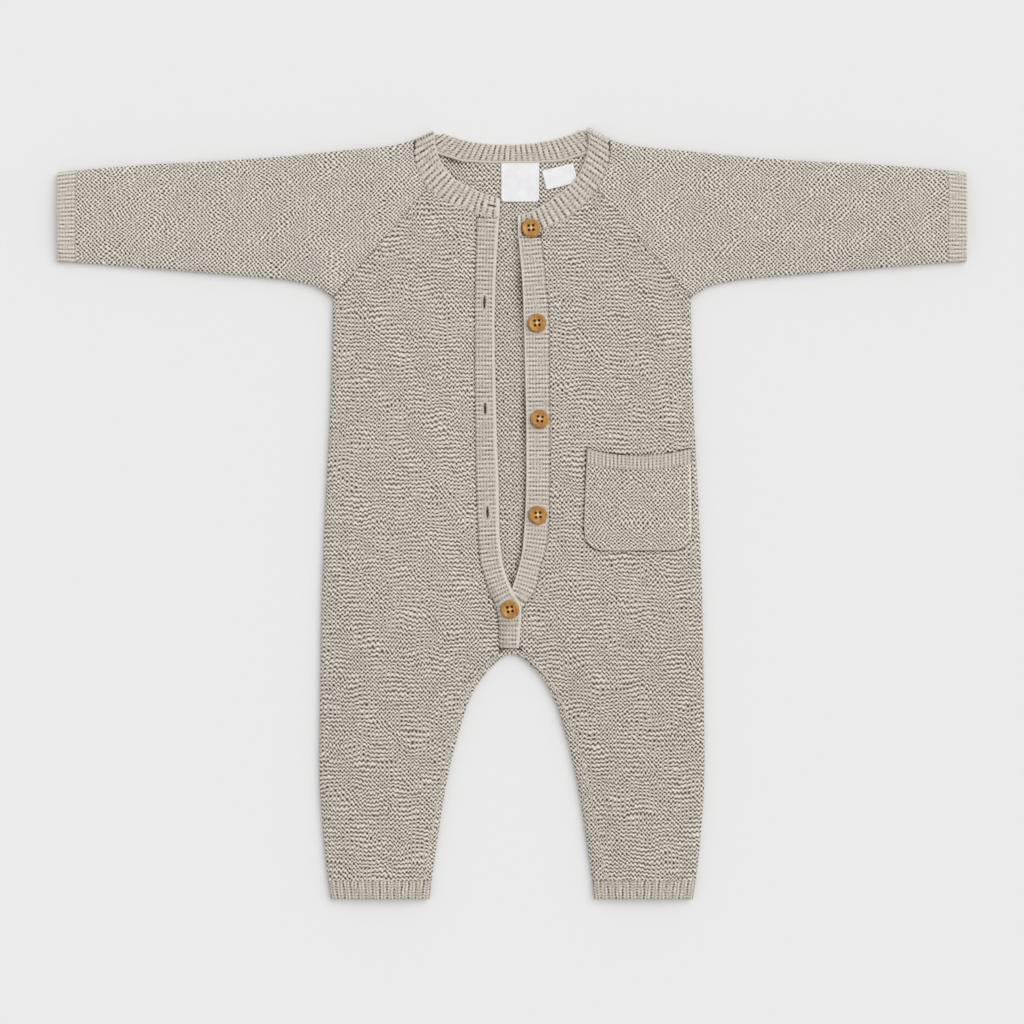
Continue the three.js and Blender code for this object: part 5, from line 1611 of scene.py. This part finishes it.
def alongPaths(name, paths, tree, sizes):
    points, edges = [], []
    for path in paths:
        first = len(points)
        points += [tuple(c * millimetre for c in point) for point in path]
        edges += [(k, k + 1) for k in range(first, len(points) - 1)]
    mesh = bpy.data.meshes.new(name)
    mesh.from_pydata(points, edges, [])
    piece = linked(name, mesh)
    made = piece.modifiers.new(tree.name, "NODES")
    made.node_group = tree
    sockets = {item.name: item.identifier for item in tree.interface.items_tree if item.in_out == "INPUT"}
    for title, value in sizes.items():
        made[sockets[title]] = value
    bpy.context.view_layer.update()
    evaluated = piece.evaluated_get(bpy.context.evaluated_depsgraph_get())
    result = bpy.data.meshes.new_from_object(evaluated)
    piece.modifiers.clear()
    piece.data = result
    pointOut(result)
    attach(piece, "root")
    print(name, len(result.polygons), "faces")
    return piece


alongPaths("buttonThreads", threadPaths, threadDown, {"Thickness": 0.0015})


def onFront(x, y, over=0.0):
    x, y = np.asarray(x, float), np.asarray(y, float)
    return list(zip(x, y, frontTop(x, y) + over))


# Linking stitches where the neckband joins the fronts, and where the leg strips join them
seams = {
    "neck": {"Spacing": 0.0030, "Length": 0.0034, "Thickness": 0.0012, "Lean": 0.45},
    "bandEnd": {"Spacing": 0.0021, "Length": 0.0024, "Thickness": 0.0012, "Lean": 0.9},
    "ribJoin": {"Spacing": 0.00283, "Length": 0.0023, "Thickness": 0.0011, "Lean": 0.5},
    "leg": {"Spacing": 0.0026, "Length": 0.0034, "Thickness": 0.0013, "Lean": 0.5},
    "slit": {"Spacing": 0.0010, "Length": 0.0019, "Thickness": 0.0008, "Lean": 1.4},
    "tack": {"Spacing": 0.0022, "Length": 0.0026, "Thickness": 0.0012, "Lean": 0.1},
}


# The seam under the rows of a neck table, as evenly numbered points
def underNeck(rows, count, below, height):
    share = np.linspace(0, 1, count)
    run = np.linspace(0, 1, len(rows))
    x, y = [np.interp(share, run, [row[k] for row in rows]) for k in (0, 1)]
    return list(zip(x, y - below, np.full(count, height)))


beforeFold = [[row for row in rows if row[1] < 240] for rows in (neckFrontRight, neckFrontLeft)]
neckPaths = [underNeck(rows, 60, 0, 2 * middle - 0.1) for rows in beforeFold]
alongPaths("neckSeamStitches", neckPaths, stitchRow, seams["neck"])

bandEnds = (
    [(-23.2, 202.6), (-16, 201.9), (-9.4, 201.6)],
    [(20.4, 191.6), (16.5, 189.6), (12.5, 188.6), (4.9, 187.9)],
)
endPaths = [[(x, y, 2 * middle + 0.05) for x, y in end] for end in bandEnds]
alongPaths("bandEndStitches", endPaths, stitchRow, seams["bandEnd"])
alongPaths("ribJoinStitches", ribJoins, stitchRow, seams["ribJoin"])

# The seam at the back of the neck is covered with a soft folded edge
alongPaths("neckTape", [underNeck(neckBack, 80, 0.5, wall + 0.35)], yarnAlong, {"Thickness": 0.0019})

legPaths = []
for column, way in (("stripRight", -1), ("stripLeft", 1)):
    places, reach = stripSeam(column)
    y = np.linspace(places[0] + 1, -99, 120)
    legPaths.append(onFront(way * (along(places, reach, y) + 0.1), y, -0.15))
alongPaths("legSeamStitches", legPaths, stitchRow, seams["leg"])

slitPaths = []
for centre in bands["slitY"][1:]:
    angle = np.linspace(0, fullTurn, 41)
    reachY = bands["slitLength"] / 2 + 0.6
    y = centre + reachY * np.cos(angle)
    x = mix(bandSeam(buttonholeBand, y), bandFree(buttonholeBand, y), bands["slitShare"])
    x += (bands["slitWidth"] / 2 + 0.8) * np.sin(angle)
    slitPaths.append(onFront(x, y, ribRise * 0.8))
alongPaths("buttonholeStitches", slitPaths, stitchRow, seams["slit"])

# A row of tacking across the lower end of the bands, and two knots beside them
tack = {"x": (-8.6, 4.2), "y": -74.6, "knots": [(20.4, -34.4), (15.4, -58.6)]}
tackX = np.linspace(*tack["x"], 12)
tackY = np.full(12, tack["y"])
tackPaths = [list(zip(tackX, tackY, bandTop(buttonholeBand, tackX, tackY) + ribRise))]
for x, y in tack["knots"]:
    tackPaths.append(onFront([x - 1.1, x, x + 1.1], [y - 0.7, y, y + 0.9], 0.5))
alongPaths("tackStitches", tackPaths, stitchRow, seams["tack"])
print("seams sewn")


studio = {
    "lensMillimetres": 100.0,
    "frameWidth": 696.3,  # what the picture takes in, in millimetres
    "centreY": 1.2,
    "focusHeight": 6,
    "floorHalf": 3.0,
    "floorColour": "#EFEFEF",
    "skyStrength": 0.68,
    "keyFrom": (0.62, 0.5, 1.0),
    "keySpread": 50,
    "keyPower": 1.12,
}

view = bpy.data.cameras.new("camera")
view.lens = studio["lensMillimetres"]
view.sensor_width = 36.0
view.clip_end = 30.0
distance = studio["frameWidth"] * millimetre * view.lens / view.sensor_width
camera = bpy.data.objects.new("camera", view)
height = distance + studio["focusHeight"] * millimetre
camera.location = (0, (studio["centreY"] + originY) * millimetre, height)
bpy.context.scene.collection.objects.link(camera)
bpy.context.scene.camera = camera

half = studio["floorHalf"]
floorMesh = bpy.data.meshes.new("floor")
corners = [(-half, -half, 0), (half, -half, 0), (half, half, 0), (-half, half, 0)]
floorMesh.from_pydata(corners, [], [(0, 1, 2, 3)])
floor = linked("floor", floorMesh)
paper, tree = newMaterial("mattPaper")
place = addNode(tree, "ShaderNodeTexCoord").outputs["Object"]
tooth = noiseOf(tree, place, 700.0, 2.0)
look = {"Roughness": 0.95, "Specular IOR Level": 0.1}
endMaterial(tree, linear(studio["floorColour"]), (tooth, 0.00005, 0.3), look)
floorMesh.materials.append(paper)

world = bpy.data.worlds.new("studio")
world.use_nodes = True
world.node_tree.nodes["Background"].inputs[0].default_value = (1, 1, 1, 1)
world.node_tree.nodes["Background"].inputs[1].default_value = studio["skyStrength"]
bpy.context.scene.world = world

key = bpy.data.lights.new("key", "SUN")
key.angle = math.radians(studio["keySpread"])
key.energy = studio["keyPower"]
keyLight = bpy.data.objects.new("key", key)
keyLight.location = studio["keyFrom"]
keyLight.rotation_euler = (-Vector(studio["keyFrom"])).to_track_quat("-Z", "Y").to_euler()
bpy.context.scene.collection.objects.link(keyLight)
bpy.context.scene.view_settings.view_transform = "Standard"
print("studio lit")
